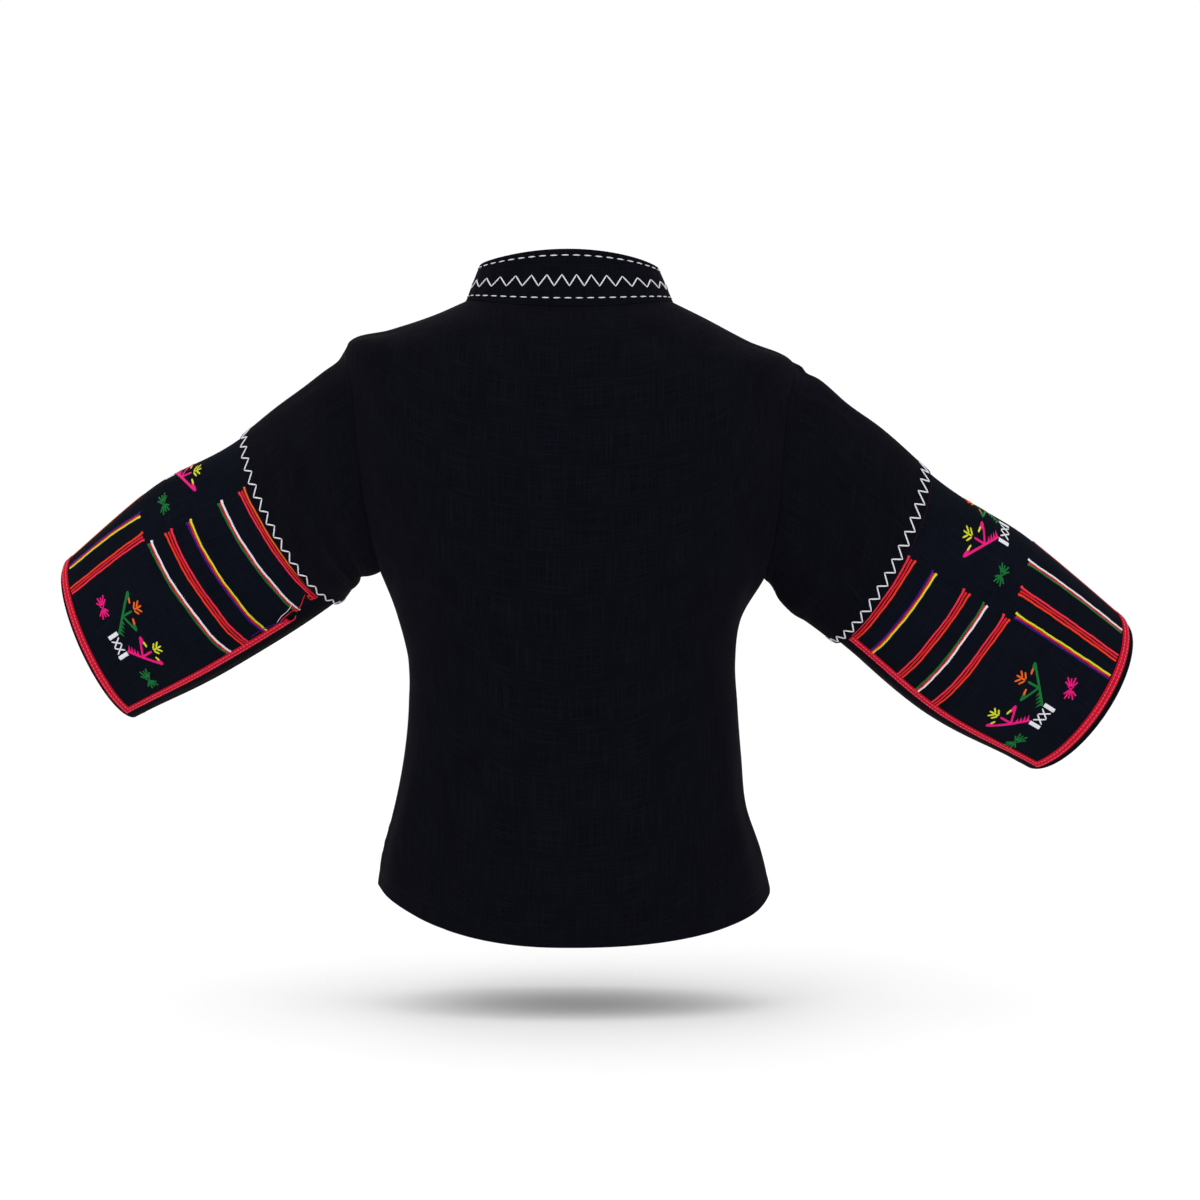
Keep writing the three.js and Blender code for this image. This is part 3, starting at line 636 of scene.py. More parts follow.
class Look:
    """A material under way: its nodes are added and joined by short calls."""

    def __init__(self, name, roughness, specular, sheen, sheen_roughness=0.4):
        self.material = bpy.data.materials.new(name)
        self.material.use_nodes = True
        self.tree = self.material.node_tree
        self.shader = self.tree.nodes["Principled BSDF"]
        self.shader.inputs["Roughness"].default_value = roughness
        self.shader.inputs["Specular IOR Level"].default_value = specular
        self.shader.inputs["Sheen Weight"].default_value = sheen
        self.shader.inputs["Sheen Roughness"].default_value = sheen_roughness
        place = self.add("ShaderNodeUVMap")
        place.uv_map = "cloth"
        parts = self.add("ShaderNodeSeparateXYZ", Vector=place.outputs["UV"])
        self.u, self.v = parts.outputs["X"], parts.outputs["Y"]

    def add(self, kind, **inputs):
        node = self.tree.nodes.new(kind)
        for name, value in inputs.items():
            self.feed(node.inputs[name.replace("_", " ")], value)
        return node

    def feed(self, socket, value):
        if isinstance(value, bpy.types.NodeSocket):
            self.tree.links.new(value, socket)
        else:
            socket.default_value = value

    def math(self, operation, *values):
        node = self.tree.nodes.new("ShaderNodeMath")
        node.operation = operation
        for socket, value in zip(node.inputs, values):
            self.feed(socket, value)
        return node.outputs[0]

    def noise(self, per_u, per_v, detail=2.0):
        """Noise that changes so many times a metre across and along the cloth."""
        place = self.add("ShaderNodeCombineXYZ", X=self.math("MULTIPLY", self.u, per_u),
                         Y=self.math("MULTIPLY", self.v, per_v))
        noise = self.add("ShaderNodeTexNoise", Vector=place.outputs[0], Scale=1.0, Detail=detail)
        return noise.outputs["Fac"]

    def wave(self, across, along):
        """A sine wave with so many crests a metre across and along the cloth."""
        crests = self.math("ADD", self.math("MULTIPLY", self.u, across), self.math("MULTIPLY", self.v, along))
        return self.math("SINE", self.math("MULTIPLY", crests, 2 * np.pi))

    def ramp(self, value, low, high):
        return self.add("ShaderNodeMapRange", Value=value, From_Min=low, From_Max=high).outputs["Result"]

    def colours(self, factor, dark, light):
        mix = self.tree.nodes.new("ShaderNodeMix")
        mix.data_type = "RGBA"
        self.feed(mix.inputs["Factor"], factor)
        for socket in mix.inputs:
            if socket.type == "RGBA":
                socket.default_value = dark if socket.name == "A" else light
        output = next(socket for socket in mix.outputs if socket.type == "RGBA")
        self.tree.links.new(output, self.shader.inputs["Base Color"])

    def bump(self, height, distance, strength=1.0):
        bump = self.add("ShaderNodeBump", Height=height, Distance=distance, Strength=strength)
        self.tree.links.new(bump.outputs["Normal"], self.shader.inputs["Normal"])


def cloth_look(name, dark, light, threads, slub, sheen, roughness=0.9, specular=0.03):
    """A plain weave with so many threads a metre and with slubs, which are thicker stretches of thread."""
    look = Look(name, roughness, specular, sheen)
    weave = look.math("MULTIPLY", look.wave(threads, 0), look.wave(0, threads))
    warp = look.ramp(look.noise(900, 26), 0.42, 0.72)
    weft = look.ramp(look.noise(26, 900), 0.42, 0.72)
    slubs = look.math("MAXIMUM", warp, weft)
    blotch = look.noise(30, 30, 3.0)
    shade = look.math("ADD", look.math("MULTIPLY", slubs, 0.65), look.math("MULTIPLY", blotch, 0.35))
    look.colours(shade, dark, light)
    height = look.math("ADD", look.math("MULTIPLY", weave, 0.5), look.math("MULTIPLY", slubs, slub))
    look.bump(height, 0.00012)
    return look.material


def thread_look(name, colour, stitch=0.0011, sheen=0.04):
    """Twisted thread, whose plies slant across it. Its colour is darker at random with the fuzz, and darker
    as painted shade in the grooves between the plies.
    """
    look = Look(name, 0.6, 0.12, sheen)
    ply_relief_and_groove_shade = look.wave(1 / stitch, 0.55 / stitch)
    fuzz = look.noise(2600, 2600, 2.0)
    # Painted shade: the ply wave that sinks the grooves in the bump also darkens the colour there; the fuzz
    # is random tone.
    shade = look.math("ADD", look.math("MULTIPLY", ply_relief_and_groove_shade, 0.28), fuzz)
    dark = tuple(0.55 * part for part in colour[:3]) + (1.0,)
    look.colours(look.ramp(shade, 0.15, 0.75), dark, colour)
    look.bump(look.math("ADD", ply_relief_and_groove_shade, look.math("MULTIPLY", fuzz, 0.6)), 0.00012)
    return look.material


def button_look():
    look = Look("button", 0.32, 0.4, 0.0)
    look.colours(look.noise(260, 260, 3.0), colour_of(9, 9, 12), colour_of(22, 22, 27))
    look.bump(look.noise(900, 900, 2.0), 0.00002)
    return look.material


def floor_look():
    look = Look("floor", 0.9, 0.1, 0.0)
    look.colours(look.noise(3, 3, 2.0), (0.98, 0.98, 0.98, 1), (0.99, 0.99, 0.99, 1))
    return look.material


LOOKS = {
    "cloth": cloth_look("cloth", colour_of(3, 3, 8), colour_of(15, 15, 24), 1250, 0.9, 0.0),
    "band": cloth_look("band", colour_of(5, 7, 15), colour_of(15, 18, 29), 1500, 0.6, 0.0),
    "binding": cloth_look("binding", colour_of(176, 8, 34), colour_of(222, 22, 52), 1600, 0.5, 0.03),
    "red": thread_look("thread_red", colour_of(236, 18, 42)),
    "coral": thread_look("thread_coral", colour_of(250, 48, 70)),
    "flame": thread_look("thread_flame", colour_of(252, 58, 30)),
    "orange": thread_look("thread_orange", colour_of(254, 110, 24)),
    "green": thread_look("thread_green", colour_of(8, 118, 52)),
    "purple": thread_look("thread_purple", colour_of(52, 14, 128)),
    "yellow": thread_look("thread_yellow", colour_of(226, 232, 44)),
    "white": thread_look("thread_white", colour_of(246, 247, 255)),
    "pink": thread_look("thread_pink", colour_of(250, 12, 134)),
    "pale": thread_look("thread_pale_pink", colour_of(240, 132, 158), 0.0007),
    "maroon": thread_look("thread_maroon", colour_of(104, 18, 34), 0.0007),
    "black": thread_look("thread_black", colour_of(20, 20, 25), 0.0007, 0.05),
    "button": button_look(),
}


# The body


def side_gap(down, is_back):
    """The angle that keeps a panel's edge half a seam's gap away from the side line."""
    ring = section(down)
    open_wide = SEAM_GAP / 2 + VENT_OPEN / 2 * smoothstep(VENT_TOP - 3, HEM, down)
    depth = ring["back"] if is_back else ring["front"]
    return np.degrees((open_wide / depth) ** (ring["round"] / 2))


def edge_cut(down, is_back):
    share = np.clip((down - TIP) / (PIT - TIP), 0, 1)
    deep = ARMHOLE_BACK if is_back else ARMHOLE_FRONT
    return np.maximum(deep * 2 * np.sqrt(share * (1 - share)), side_gap(down, is_back))


def panel_downs():
    """The rows of a body panel, closer together where the armhole curves fastest."""
    yoke, skirt = np.linspace(0, TIP, 30)[:-1], np.linspace(PIT, HEM, 72)[1:]
    return np.concatenate([yoke, armhole_down(np.linspace(0, 180, 61)), skirt])


def panel_shares():
    """Shares of a half panel from its middle to its side edge, close together at the dart."""
    near = DART_SHARE + np.linspace(-0.05, 0.05, 11)
    before, after = DART_SHARE - 0.06, DART_SHARE + 0.06
    return np.concatenate([np.linspace(0, before, 20), near, np.linspace(after, 1, 30)])


def panel_angle(share, middle, dart, edge):
    inside = middle + (dart - middle) * share / DART_SHARE
    outside = dart + (edge - dart) * (share - DART_SHARE) / (1 - DART_SHARE)
    return np.where(share <= DART_SHARE, inside, outside)


def body_wall(angle, down, lift=0.0, thick=CLOTH):
    """The two faces of a body panel, whose first row stops a seam's gap short of the neckline."""
    cloth = np.linalg.norm(body_base(angle, 1.0) - body_base(angle, 0.0), axis=-1)
    outer, normal = body_face(angle, np.maximum(down, (NECK_GAP + NECK_LIFT * lift) / cloth), lift)
    return outer, outer - normal * thick


def make_back():
    down = panel_downs()[:, None]
    shares = panel_shares()[None, :]
    half = panel_angle(shares, 0, DART_BACK, 90 - edge_cut(down, True))
    angle = np.concatenate([-half[:, :0:-1], half], 1)
    piece = wall("cloth_back", *body_wall(angle, down), False, LOOKS["cloth"])
    declare(piece, "cloth", "hung", ["collar"], "back")


def angle_of(x, down):
    """The angle from the centre front to a place that lies x from it."""
    ring = section(down)
    return np.degrees(np.arcsin((x / ring["left"]) ** (ring["round"] / 2)))


def front_lift(angle, down):
    """How far the upper front is raised where it laps over the other one."""
    x = body_base(np.abs(angle), down)[..., 0]
    x = np.where(np.abs(angle) > 180, 0, np.abs(x))
    return (CLOTH + LAYER_GAP) * (1 - smoothstep(LAP_CLEAR, LAP_FADE, x))


def make_front(side):
    sign = 1 if side == "left" else -1
    down = panel_downs()[:, None]
    lap_end = 180 - angle_of(LAP_CLEAR, down)
    first = 180 + angle_of(LAP, down)
    lap = first + (lap_end - first) * np.linspace(0, 1, 17)[None, :-1]
    half = panel_angle(panel_shares()[None, :], lap_end, DART_FRONT, 90 + edge_cut(down, False))
    angle = np.concatenate([lap, half], 1)
    lift = front_lift(angle, down) if sign < 0 else np.zeros(angle.shape)
    piece = wall(f"cloth_front_{side}", *body_wall(sign * angle, down, lift), False, LOOKS["cloth"])
    declare(piece, "cloth", "hung", ["collar"], f"front_{side}")


# The collar


def collar_middle(angle, share):
    """The collar's middle layer, and the direction out of it."""
    base = {name: values[0] for name, values in BODY.items()}
    brim = {**base, **COLLAR_WIDE, **COLLAR_HIGH}
    end, corner = np.degrees(COLLAR_END / base["left"]), np.degrees(COLLAR_CORNER / base["left"])
    from_end = np.clip((180 - np.abs(angle) - end) / corner, 0, 1)
    height = COLLAR_END_HIGH + (1 - COLLAR_END_HIGH) * np.sqrt(1 - (1 - from_end) ** 2)
    low, high = ring_point(base, angle), ring_point(brim, angle)
    middle = low + (high - low) * (share * height)[..., None]
    away = np.stack([low[..., 0] / base["left"] ** 2, low[..., 1] / base["back"] ** 2, 0 * low[..., 2]], -1)
    return middle, unit(away)


def collar_puff(angle, share):
    """The slight puckers between the collar's two rows of stitches, and its slower waves."""
    return 0.25 * np.sin(angle / 2.1) * np.sin(np.pi * share) + 0.3 * np.sin(angle / 9)


# The top edge is turned, so it is rounder than a cut one: its thickness at each share of the height
TURNED_SHARE = [0.94, 0.97, 0.99, 1.0]
TURNED_THICK = [1, 0.93, 0.78, 0.5]


def make_collar():
    end = np.degrees(COLLAR_END / BODY["left"][0])
    corner = np.degrees(COLLAR_CORNER / BODY["left"][0])
    near_ends = 180 - end - corner * np.linspace(1, 0, 14) ** 1.5
    half = np.concatenate([np.linspace(0, 180 - end - corner, 100)[:-1], near_ends])
    angle = np.concatenate([-half[:0:-1], half])[None, :]
    seam, normal = body_face(angle, 0.0 * angle, (COLLAR_CLOTH - CLOTH) / 2)
    share = np.concatenate([np.linspace(0.09, TURNED_SHARE[0], 16), TURNED_SHARE[1:]])[:, None]
    middle, away = collar_middle(*np.broadcast_arrays(angle, share))
    middle = middle + away * collar_puff(angle, share)[..., None]
    half_thick = COLLAR_CLOTH / 2 * np.interp(share, TURNED_SHARE, TURNED_THICK)[..., None]
    outer = np.concatenate([seam, middle + away * half_thick])
    inner = np.concatenate([seam - normal * COLLAR_CLOTH, middle - away * half_thick])
    piece = wall("cloth_collar", outer, inner, False, LOOKS["cloth"])
    declare(piece, "cloth", "stretched", ["back", "front_left", "front_right"], "collar")


def line_at(angle, share):
    """A point of the collar's outer face."""
    angle, share = np.broadcast_arrays(np.asarray(angle, float), np.asarray(share, float))
    middle, away = collar_middle(angle, share)
    return middle + away * (COLLAR_CLOTH / 2 + collar_puff(angle, share))[..., None], away


COLLAR_ROWS, COLLAR_ROWS_END = (0.89, 0.16), 168  # shares of the height, and the angle they run to
COLLAR_STITCH, COLLAR_STITCH_GAP, COLLAR_STITCH_WIDE = 6.5, 3.5, 1.15
COLLAR_ZIGZAG = {"corners": 29, "apart": 5.8, "warp": 0.13, "low": 0.362, "high": 0.56, "wide": 1.2}
WHITE_HIGH = 0.8


def make_collar_stitching():
    """Two rows of running stitches and the zigzag between them."""
    threads = Threads("stitching_collar", ["white"])
    angle = np.linspace(-COLLAR_ROWS_END, COLLAR_ROWS_END, 1400)
    for share in COLLAR_ROWS:
        line = line_at(angle, share)
        threads.dash(*line, COLLAR_STITCH, COLLAR_STITCH_GAP, COLLAR_STITCH_WIDE, WHITE_HIGH, "white")
    zigzag = COLLAR_ZIGZAG
    corners = np.arange(-zigzag["corners"], zigzag["corners"] + 1)
    even = corners * zigzag["apart"]
    place = even - zigzag["warp"] * np.degrees(np.sin(np.radians(2 * even)))
    share = np.where(corners % 2 == 0, zigzag["low"], zigzag["high"])
    lay_zigzag(threads, place, share, line_at, zigzag["wide"])
    threads.piece("binding")


def lay_zigzag(threads, first, second, surface, wide):
    """Straight white stitches from corner to corner over a surface given by two places."""
    for k in range(len(first) - 1):
        at = np.linspace(0, 1, 8)
        a = first[k] + (first[k + 1] - first[k]) * at
        b = second[k] + (second[k + 1] - second[k]) * at
        points, normals = surface(a, b)
        ends = np.array([0.45, 0.9, 1, 1, 1, 1, 0.9, 0.45])
        threads.lay(points, normals, wide * ends, WHITE_HIGH * ends, "white")


# The sleeves


ROUND = np.linspace(-180, 180, 161)[None, :-1]  # the turns of a sleeve's columns


def make_upper_sleeve(side):
    """The upper sleeve, which starts at the armhole's edge and eases onto the sleeve's own sections."""
    turn = ROUND
    edge, angle, down = armhole_point(side, turn)
    into = unit(armhole_point(side, turn, 0.02)[0] - edge)
    head, normal = body_face(angle, down)
    head = head + into * HEAD_GAP
    out = np.concatenate([[6, 9, 12.5], np.linspace(16, SEAM + UPPER_LAP, 36)])[:, None]
    face, normals = sleeve_face(side, turn, out, upper_lift(out) + 0 * turn)
    outer = np.concatenate([head, face])
    inner = np.concatenate([head - normal * CLOTH, face - normals * CLOTH])
    piece = wall(f"cloth_sleeve_upper_{side}", outer, inner, True, LOOKS["cloth"])
    declare(piece, "cloth", "hung", ["back", f"front_{side}"], f"sleeve_upper_{side}")


def make_lower_sleeve(side):
    out = np.linspace(SEAM - BAND_TUCK, CUFF + CUFF_REST[side], 66)[:, None]
    outer, normals = sleeve_face(side, ROUND, out, BASE_LIFT)
    piece = wall(f"cloth_sleeve_lower_{side}", outer, outer - normals * CLOTH, True, LOOKS["cloth"])
    declare(piece, "cloth", "hung", [f"sleeve_upper_{side}"], f"sleeve_lower_{side}")


def make_band(side):
    edge = HEAD_INNER - SEAM_GAP
    turn = band_turn(side, np.linspace(-edge, edge, 141))[None, :]
    out = np.linspace(SEAM - BAND_TUCK, CUFF - BINDING_WIDE - SEAM_GAP, 64)[:, None]
    outer, normals = sleeve_face(side, turn, out)
    piece = wall(f"cloth_band_{side}", outer, outer - normals * CLOTH, False, LOOKS["band"])
    declare(piece, "band", "laid", [f"sleeve_lower_{side}"], f"band_{side}")


CORNER_OUT, CORNER_TURN = 326, 132  # where the binding starts to widen towards its mitred corners


def binding_path(side):
    """The binding's inner and outer edge as (turn on the head, out): down one leg, round the cuff and up."""
    inside = CUFF - BINDING_WIDE

    def leg(sign, start):
        out = np.linspace(SEAM + UPPER_LAP + start, inside, 100)
        far_out = out + BINDING_WIDE * np.clip((out - CORNER_OUT) / (inside - CORNER_OUT), 0, 1)
        return (np.stack([np.full(len(out), sign * HEAD_INNER), out], -1),
                np.stack([np.full(len(out), sign * HEAD_OUTER), far_out], -1))

    back_start, front_start = BINDING_STARTS[side]
    near_back, far_back = leg(1, back_start)
    near_front, far_front = leg(-1, front_start)
    turn = np.linspace(HEAD_INNER, -HEAD_INNER, 150)[1:-1]
    spread = np.clip((np.abs(turn) - CORNER_TURN) / (HEAD_INNER - CORNER_TURN), 0, 1)
    far_turn = turn + np.sign(turn) * (HEAD_OUTER - HEAD_INNER) * spread
    near = np.concatenate([near_back, np.stack([turn, np.full(len(turn), inside)], -1), near_front[::-1]])
    far = np.concatenate([far_back, np.stack([far_turn, np.full(len(turn), CUFF)], -1), far_front[::-1]])
    return near, far


# The binding's height across its width: turned edges, two stitched dips and a soft middle
BINDING_ACROSS = [0, 0.05, 0.14, 0.25, 0.36, 0.5, 0.64, 0.75, 0.86, 0.95, 1]
BINDING_HEIGHT = [0.2, 0.62, 0.88, 0.6, 0.88, 0.95, 0.88, 0.6, 0.88, 0.62, 0.2]
STITCH_ROWS = (0.25, 0.75)
STITCH, STITCH_GAP = 2.6, 0.9
PALE_WIDE, PALE_HIGH = 0.75, 0.4


def binding_face(side, share):
    """A line along the binding at a share of its width: its points, normals and height."""
    near, far = binding_path(side)
    place = near + (far - near) * share
    run = np.arange(len(place))
    pucker = 0.1 * np.sin(run * 0.9 + 3 * share) * np.sin(run * 0.23)
    height = np.interp(share, BINDING_ACROSS, BINDING_HEIGHT) + pucker
    points, normals = sleeve_face(side, band_turn(side, place[:, 0]), place[:, 1], height)
    return points, normals, height


def make_binding(side):
    faces = [binding_face(side, share) for share in BINDING_ACROSS]
    outer = np.stack([face[0] for face in faces], 1)
    inner = outer - np.stack([face[1] * (face[2] + CLOTH)[:, None] for face in faces], 1)
    piece = wall(f"cloth_binding_{side}", outer, inner, False, LOOKS["binding"])
    declare(piece, "binding", "laid", [f"band_{side}", f"sleeve_lower_{side}"], f"binding_{side}")


def make_binding_stitching(side):
    threads = Threads(f"stitching_binding_{side}", ["pale"])
    for share in STITCH_ROWS:
        points, normals, _ = binding_face(side, share)
        threads.dash(points, normals, STITCH, STITCH_GAP, PALE_WIDE, PALE_HIGH, "pale")
    threads.piece("binding")


# The embroidery. Stripes run round the band's lower half (cross) or from its middle to the cuff (long).
# Each has a start and an end as (turn, out), and its threads from the sleeve's seam, or top line, on.
PITCH = {"thin": 1.9, "broad": 2.95}  # from one thread of a stripe to the next
THREAD_WIDE = {"white": 2.1, "yellow": 1.95, "red": 1.65, "green": 1.6, "purple": 1.65}
BROAD_WIDE = 1.95
STRIPES = {
    "left": [
        ("cross", "broad", (60, 125), (160, 120), ("orange", "red", "coral")),
        ("cross", "thin", (59, 152), (156, 148), ("white", "red", "green")),
        ("cross", "thin", (61, 191), (151, 183), ("yellow", "red", "purple")),
        ("cross", "broad", (61, 216), (153, 202), ("coral", "red", "flame")),
        ("cross", "thin", (61, 240), (154, 218), ("white", "red", "green")),
        ("long", "broad", (6, 253), (7, 349), ("flame", "red", "orange")),
        ("long", "thin", (38, 245), (30, 349), ("purple", "red", "yellow")),
        ("long", "broad", (55, 245), (53, 350), ("flame", "red", "coral")),
    ],
    "right": [
        ("cross", "broad", (83, 122), (165, 120), ("coral", "red", "flame")),
        ("cross", "thin", (81, 146), (155, 144), ("purple", "red", "yellow")),
        ("cross", "broad", (79, 184), (153, 181), ("coral", "red", "flame")),
        ("cross", "thin", (79, 207), (154, 203), ("green", "red", "white")),
        ("cross", "broad", (78, 232), (154, 225), ("coral", "red", "flame")),
        ("long", "broad", (-2, 242), (6, 351), ("flame", "red", "coral")),
        ("long", "thin", (40, 231), (34, 350), ("white", "red", "green")),
        ("long", "broad", (61, 232), (57, 350), ("coral", "red", "flame")),
        ("long", "thin", (75, 238), (71, 350), ("yellow", "red", "purple")),
    ],
}
MIDDLE_STRIPE = {"left": 6.5, "right": 2}  # the turn about which the hidden half repeats the shown one

# A plant of embroidery, in millimetres from its foot: along its stem and towards its other branches
STEM, INNER, FLOWER_BRANCH = ((0, 0), (37, 0)), ((16, 0.5), (10.3, 17)), ((16, 0.5), (24, 8.5))
FLOWER_AT, FLOWER_TURN = (26.5, 11.0), 45
FLOWER_PRONGS = (((-1, 0), (8, 0)), ((2.6, -0.8), (6.6, -4.8)), ((2.6, 0.8), (6.6, 4.8)),
                 ((-1, -0.8), (2.6, -5.2)), ((-1, 0.8), (2.6, 5.2)))
TIP_BARBS = (((37, 0.3), (28.6, 4.8)), ((10.3, 17), (18.6, 10.6)))
TIP_FILLS = (((34.6, 0.6), (30.6, 2.7)), ((11.4, 14.2), (15.4, 11.9)))
COMB_TEETH, TOOTH_PITCH, TOOTH_HIGH = 4, 3.1, 5.6

# Each motif is two plants with a bar at each foot and a braid between. Its middle is given as (turn, out).
# On the hidden half of the band the motifs and sprigs are a little smaller.
FOOT_AT, BAR_AT, BAR_HALF, BAR_WIDE = (7.8, 6.2), 9.4, 5.4, 4.1
BRAID_COLUMNS, BRAID_HALF, BRAID_HIGH = (-3.1, 3.1), 2.9, 4.6
PLANTS = ((-1, 42, "green", "orange"), (1, 45, "pink", "yellow"))  # hand, lean and colours
MOTIFS = {"left": [(-1, 210), (103.5, 319.5)], "right": [(27, 200), (115.3, 315.5)]}
MOTIF_SCALE, HIDDEN_MOTIF_SCALE = 1.1, 1.1 * 0.92
SPRIG_SCALE, HIDDEN_SPRIG_SCALE = 1.15, 1.05
# Small sprigs between the motifs: place, direction in degrees and colour
SPRIGS = {
    "left": [((41, 215), 10, "green"), ((77.5, 318), -6, "pink"), ((134, 309), 0, "green")],
    "right": [((59, 209), 4, "green"), ((91, 322), -26, "pink"), ((142, 316), 0, "green")],
}
PALETTE = ["red", "coral", "flame", "orange", "green", "purple", "yellow", "white", "pink", "maroon"]


def hidden_turn(side, turn):
    """The place on the front half of a band that answers to one on its back half."""
    middle = MIDDLE_STRIPE[side]
    share = (middle - band_edge(side, -1)) / (band_edge(side, 1) - middle)
    return middle - (turn - middle) * share


STRIPE_SAG, STRIPE_HIGH, STRIPE_FLARE, FLARE_FADE, SATIN_PITCH = 1.6, 0.5, 0.45, 3.5, 2.3


def lay_stripe(threads, side, kind, weight, start, end, colours):
    """Three lines of satin stitch side by side, a little wider at their upper ends."""
    share = np.linspace(0, 1, 160)
    turn = start[0] + (end[0] - start[0]) * share
    out = start[1] + (end[1] - start[1]) * share
    if kind == "cross":
        sag = STRIPE_SAG * np.sin(np.pi * share) + 0.35 * np.sin(11 * share + start[1])
        inside = (turn < band_edge(side, 1) + 0.4) & (turn > band_edge(side, -1) - 0.4)
        turn, out = turn[inside], out[inside] - sag[inside] / 2
    middle, normal = sleeve_face(side, turn, out)
    length = np.linalg.norm(np.diff(middle, axis=0), axis=1).sum()
    at = np.linspace(0, 1, max(8, int(length / 0.75)))
    place = np.linspace(0, 1, len(turn))
    middle, normal = sleeve_face(side, np.interp(at, place, turn), np.interp(at, place, out))
    tangent = unit(np.gradient(middle, axis=0))
    across = unit(np.cross(normal, tangent))
    more_turn, more_out = (1, 0) if kind == "long" else (0, 1)
    ahead = sleeve_face(side, turn[:1] + more_turn, out[:1] + more_out)[0]
    towards = ahead - sleeve_face(side, turn[:1], out[:1])[0]
    across = across * np.sign((across[:1] * towards).sum())
    run = at * length
    flare = 1 + STRIPE_FLARE * np.exp(-run / FLARE_FADE)
    for k, colour in enumerate(colours):
        wander = 0.16 * np.sin(run / 5.3 + 2.1 * k + start[1]) + 0.1 * np.sin(run / 1.9 + k)
        spot = middle + across * ((k - 1) * PITCH[weight] * flare + wander)[:, None]
        stitches = np.sin(2 * np.pi * run / SATIN_PITCH + k)
        wide = BROAD_WIDE if weight == "broad" else THREAD_WIDE[colour]
        wide = wide * flare * (1 + 0.09 * stitches)
        high = STRIPE_HIGH * (1 + 0.22 * stitches)
        trim = slice((k * 2) % 3, None)
        threads.lay(spot[trim], normal[trim], wide[trim], high[trim], colour, start=0.7 * k)


STROKE_STEP, STROKE_END, RAGGED_PERIOD = 0.7, 1.2, 1.9


class Field:
    """A flat patch of the band, with its own axes in millimetres: with the turn, and towards the seam."""

    def __init__(self, threads, side, middle, scale, mirrored=False):
        self.threads, self.side, self.middle, self.scale = threads, side, middle, scale
        self.sign = -1 if mirrored else 1
        near = 20.0
        spots, _ = sleeve_face(side, middle[0] + np.array([-near, near]), middle[1] + np.zeros(2))
        self.degree = np.linalg.norm(spots[1] - spots[0]) / (2 * near)

    def line(self, start, end, at):
        """Points on the cloth from start to end, at shares of the way, and the normals there."""
        spot = start + (end - start) * at[:, None]
        turn = self.middle[0] + self.sign * spot[:, 0] / self.degree
        return sleeve_face(self.side, turn, self.middle[1] - spot[:, 1])

    def stroke(self, start, end, wide, colour, taper=0.55, high=0.5):
        """A bar of satin stitch, narrower at its ends."""
        start, end = np.asarray(start, float) * self.scale, np.asarray(end, float) * self.scale
        length = np.linalg.norm(end - start)
        steps = max(5, int(length / STROKE_STEP))
        at = np.linspace(0, 1, steps)
        ends = taper + (1 - taper) * np.clip(np.minimum(at, 1 - at) * length / STROKE_END, 0, 1)
        ragged = 1 + 0.12 * np.sin(2 * np.pi * at * steps * STROKE_STEP / RAGGED_PERIOD + start[0])
        self.threads.lay(*self.line(start, end, at), wide * ends * ragged, high * ends, colour)

    def tooth(self, foot, tip, wide, colour):
        """A tapered bar, as in a comb."""
        foot, tip = np.asarray(foot, float) * self.scale, np.asarray(tip, float) * self.scale
        at = np.linspace(0, 1, 8)
        self.threads.lay(*self.line(foot, tip, at), wide * (1 - 0.85 * at), 0.45 * (1 - 0.5 * at), colour)


def turned(point, degrees):
    cosine, sine = np.cos(np.radians(degrees)), np.sin(np.radians(degrees))
    return np.array([point[0] * cosine - point[1] * sine, point[0] * sine + point[1] * cosine])


def lay_plant(field, hand, degrees, colour, tip_colour):
    """A stem with a comb of teeth and two side branches. hand is 1 or -1, degrees its lean from the seam."""

    def place(point):
        along = turned((point[0], point[1]), 90 - degrees)
        return np.array([hand * (FOOT_AT[0] + along[0]), FOOT_AT[1] + along[1]])

    field.stroke(place(STEM[0]), place(STEM[1]), 2.5, colour)
    field.stroke(place(INNER[0]), place(INNER[1]), 2.2, colour)
    field.stroke(place(FLOWER_BRANCH[0]), place(FLOWER_BRANCH[1]), 2.3, colour)
    for fill in TIP_FILLS:
        field.stroke(place(fill[0]), place(fill[1]), 2.0, colour)
    for barb in TIP_BARBS:
        middle = (np.array(barb[0]) + np.array(barb[1])) / 2
        field.stroke(place(barb[0]), place(middle), 2.1, colour)
        field.stroke(place(middle), place(barb[1]), 2.1, tip_colour)
    for k in range(COMB_TEETH):
        foot = 2.0 + TOOTH_PITCH * k
        field.tooth(place((foot, 0.6)), place((foot - 1.6, TOOTH_HIGH - 0.5 * k)), 2.7, colour)
    for first, last in FLOWER_PRONGS:
        ends = [np.array(FLOWER_AT) + turned(point, FLOWER_TURN) for point in (first, last)]
        field.stroke(place(ends[0]), place(ends[1]), 1.85, tip_colour)


def lay_motif(field):
    for hand, degrees, colour, tip_colour in PLANTS:
        lay_plant(field, hand, degrees, colour, tip_colour)
        field.stroke((hand * BAR_AT, -BAR_HALF), (hand * BAR_AT, BAR_HALF), BAR_WIDE, "white", taper=1.0)
    for column in BRAID_COLUMNS:
        for hand in (-1, 1):
            low, high = (column - BRAID_HALF * hand, -BRAID_HIGH), (column + BRAID_HALF * hand, BRAID_HIGH)
            field.stroke(low, high, 1.5, "white")


SPRIG_LEAVES = ((-44, 7.4), (-20, 9.2), (3, 8.0), (24, 9.4), (46, 7.0))  # lean in degrees and length


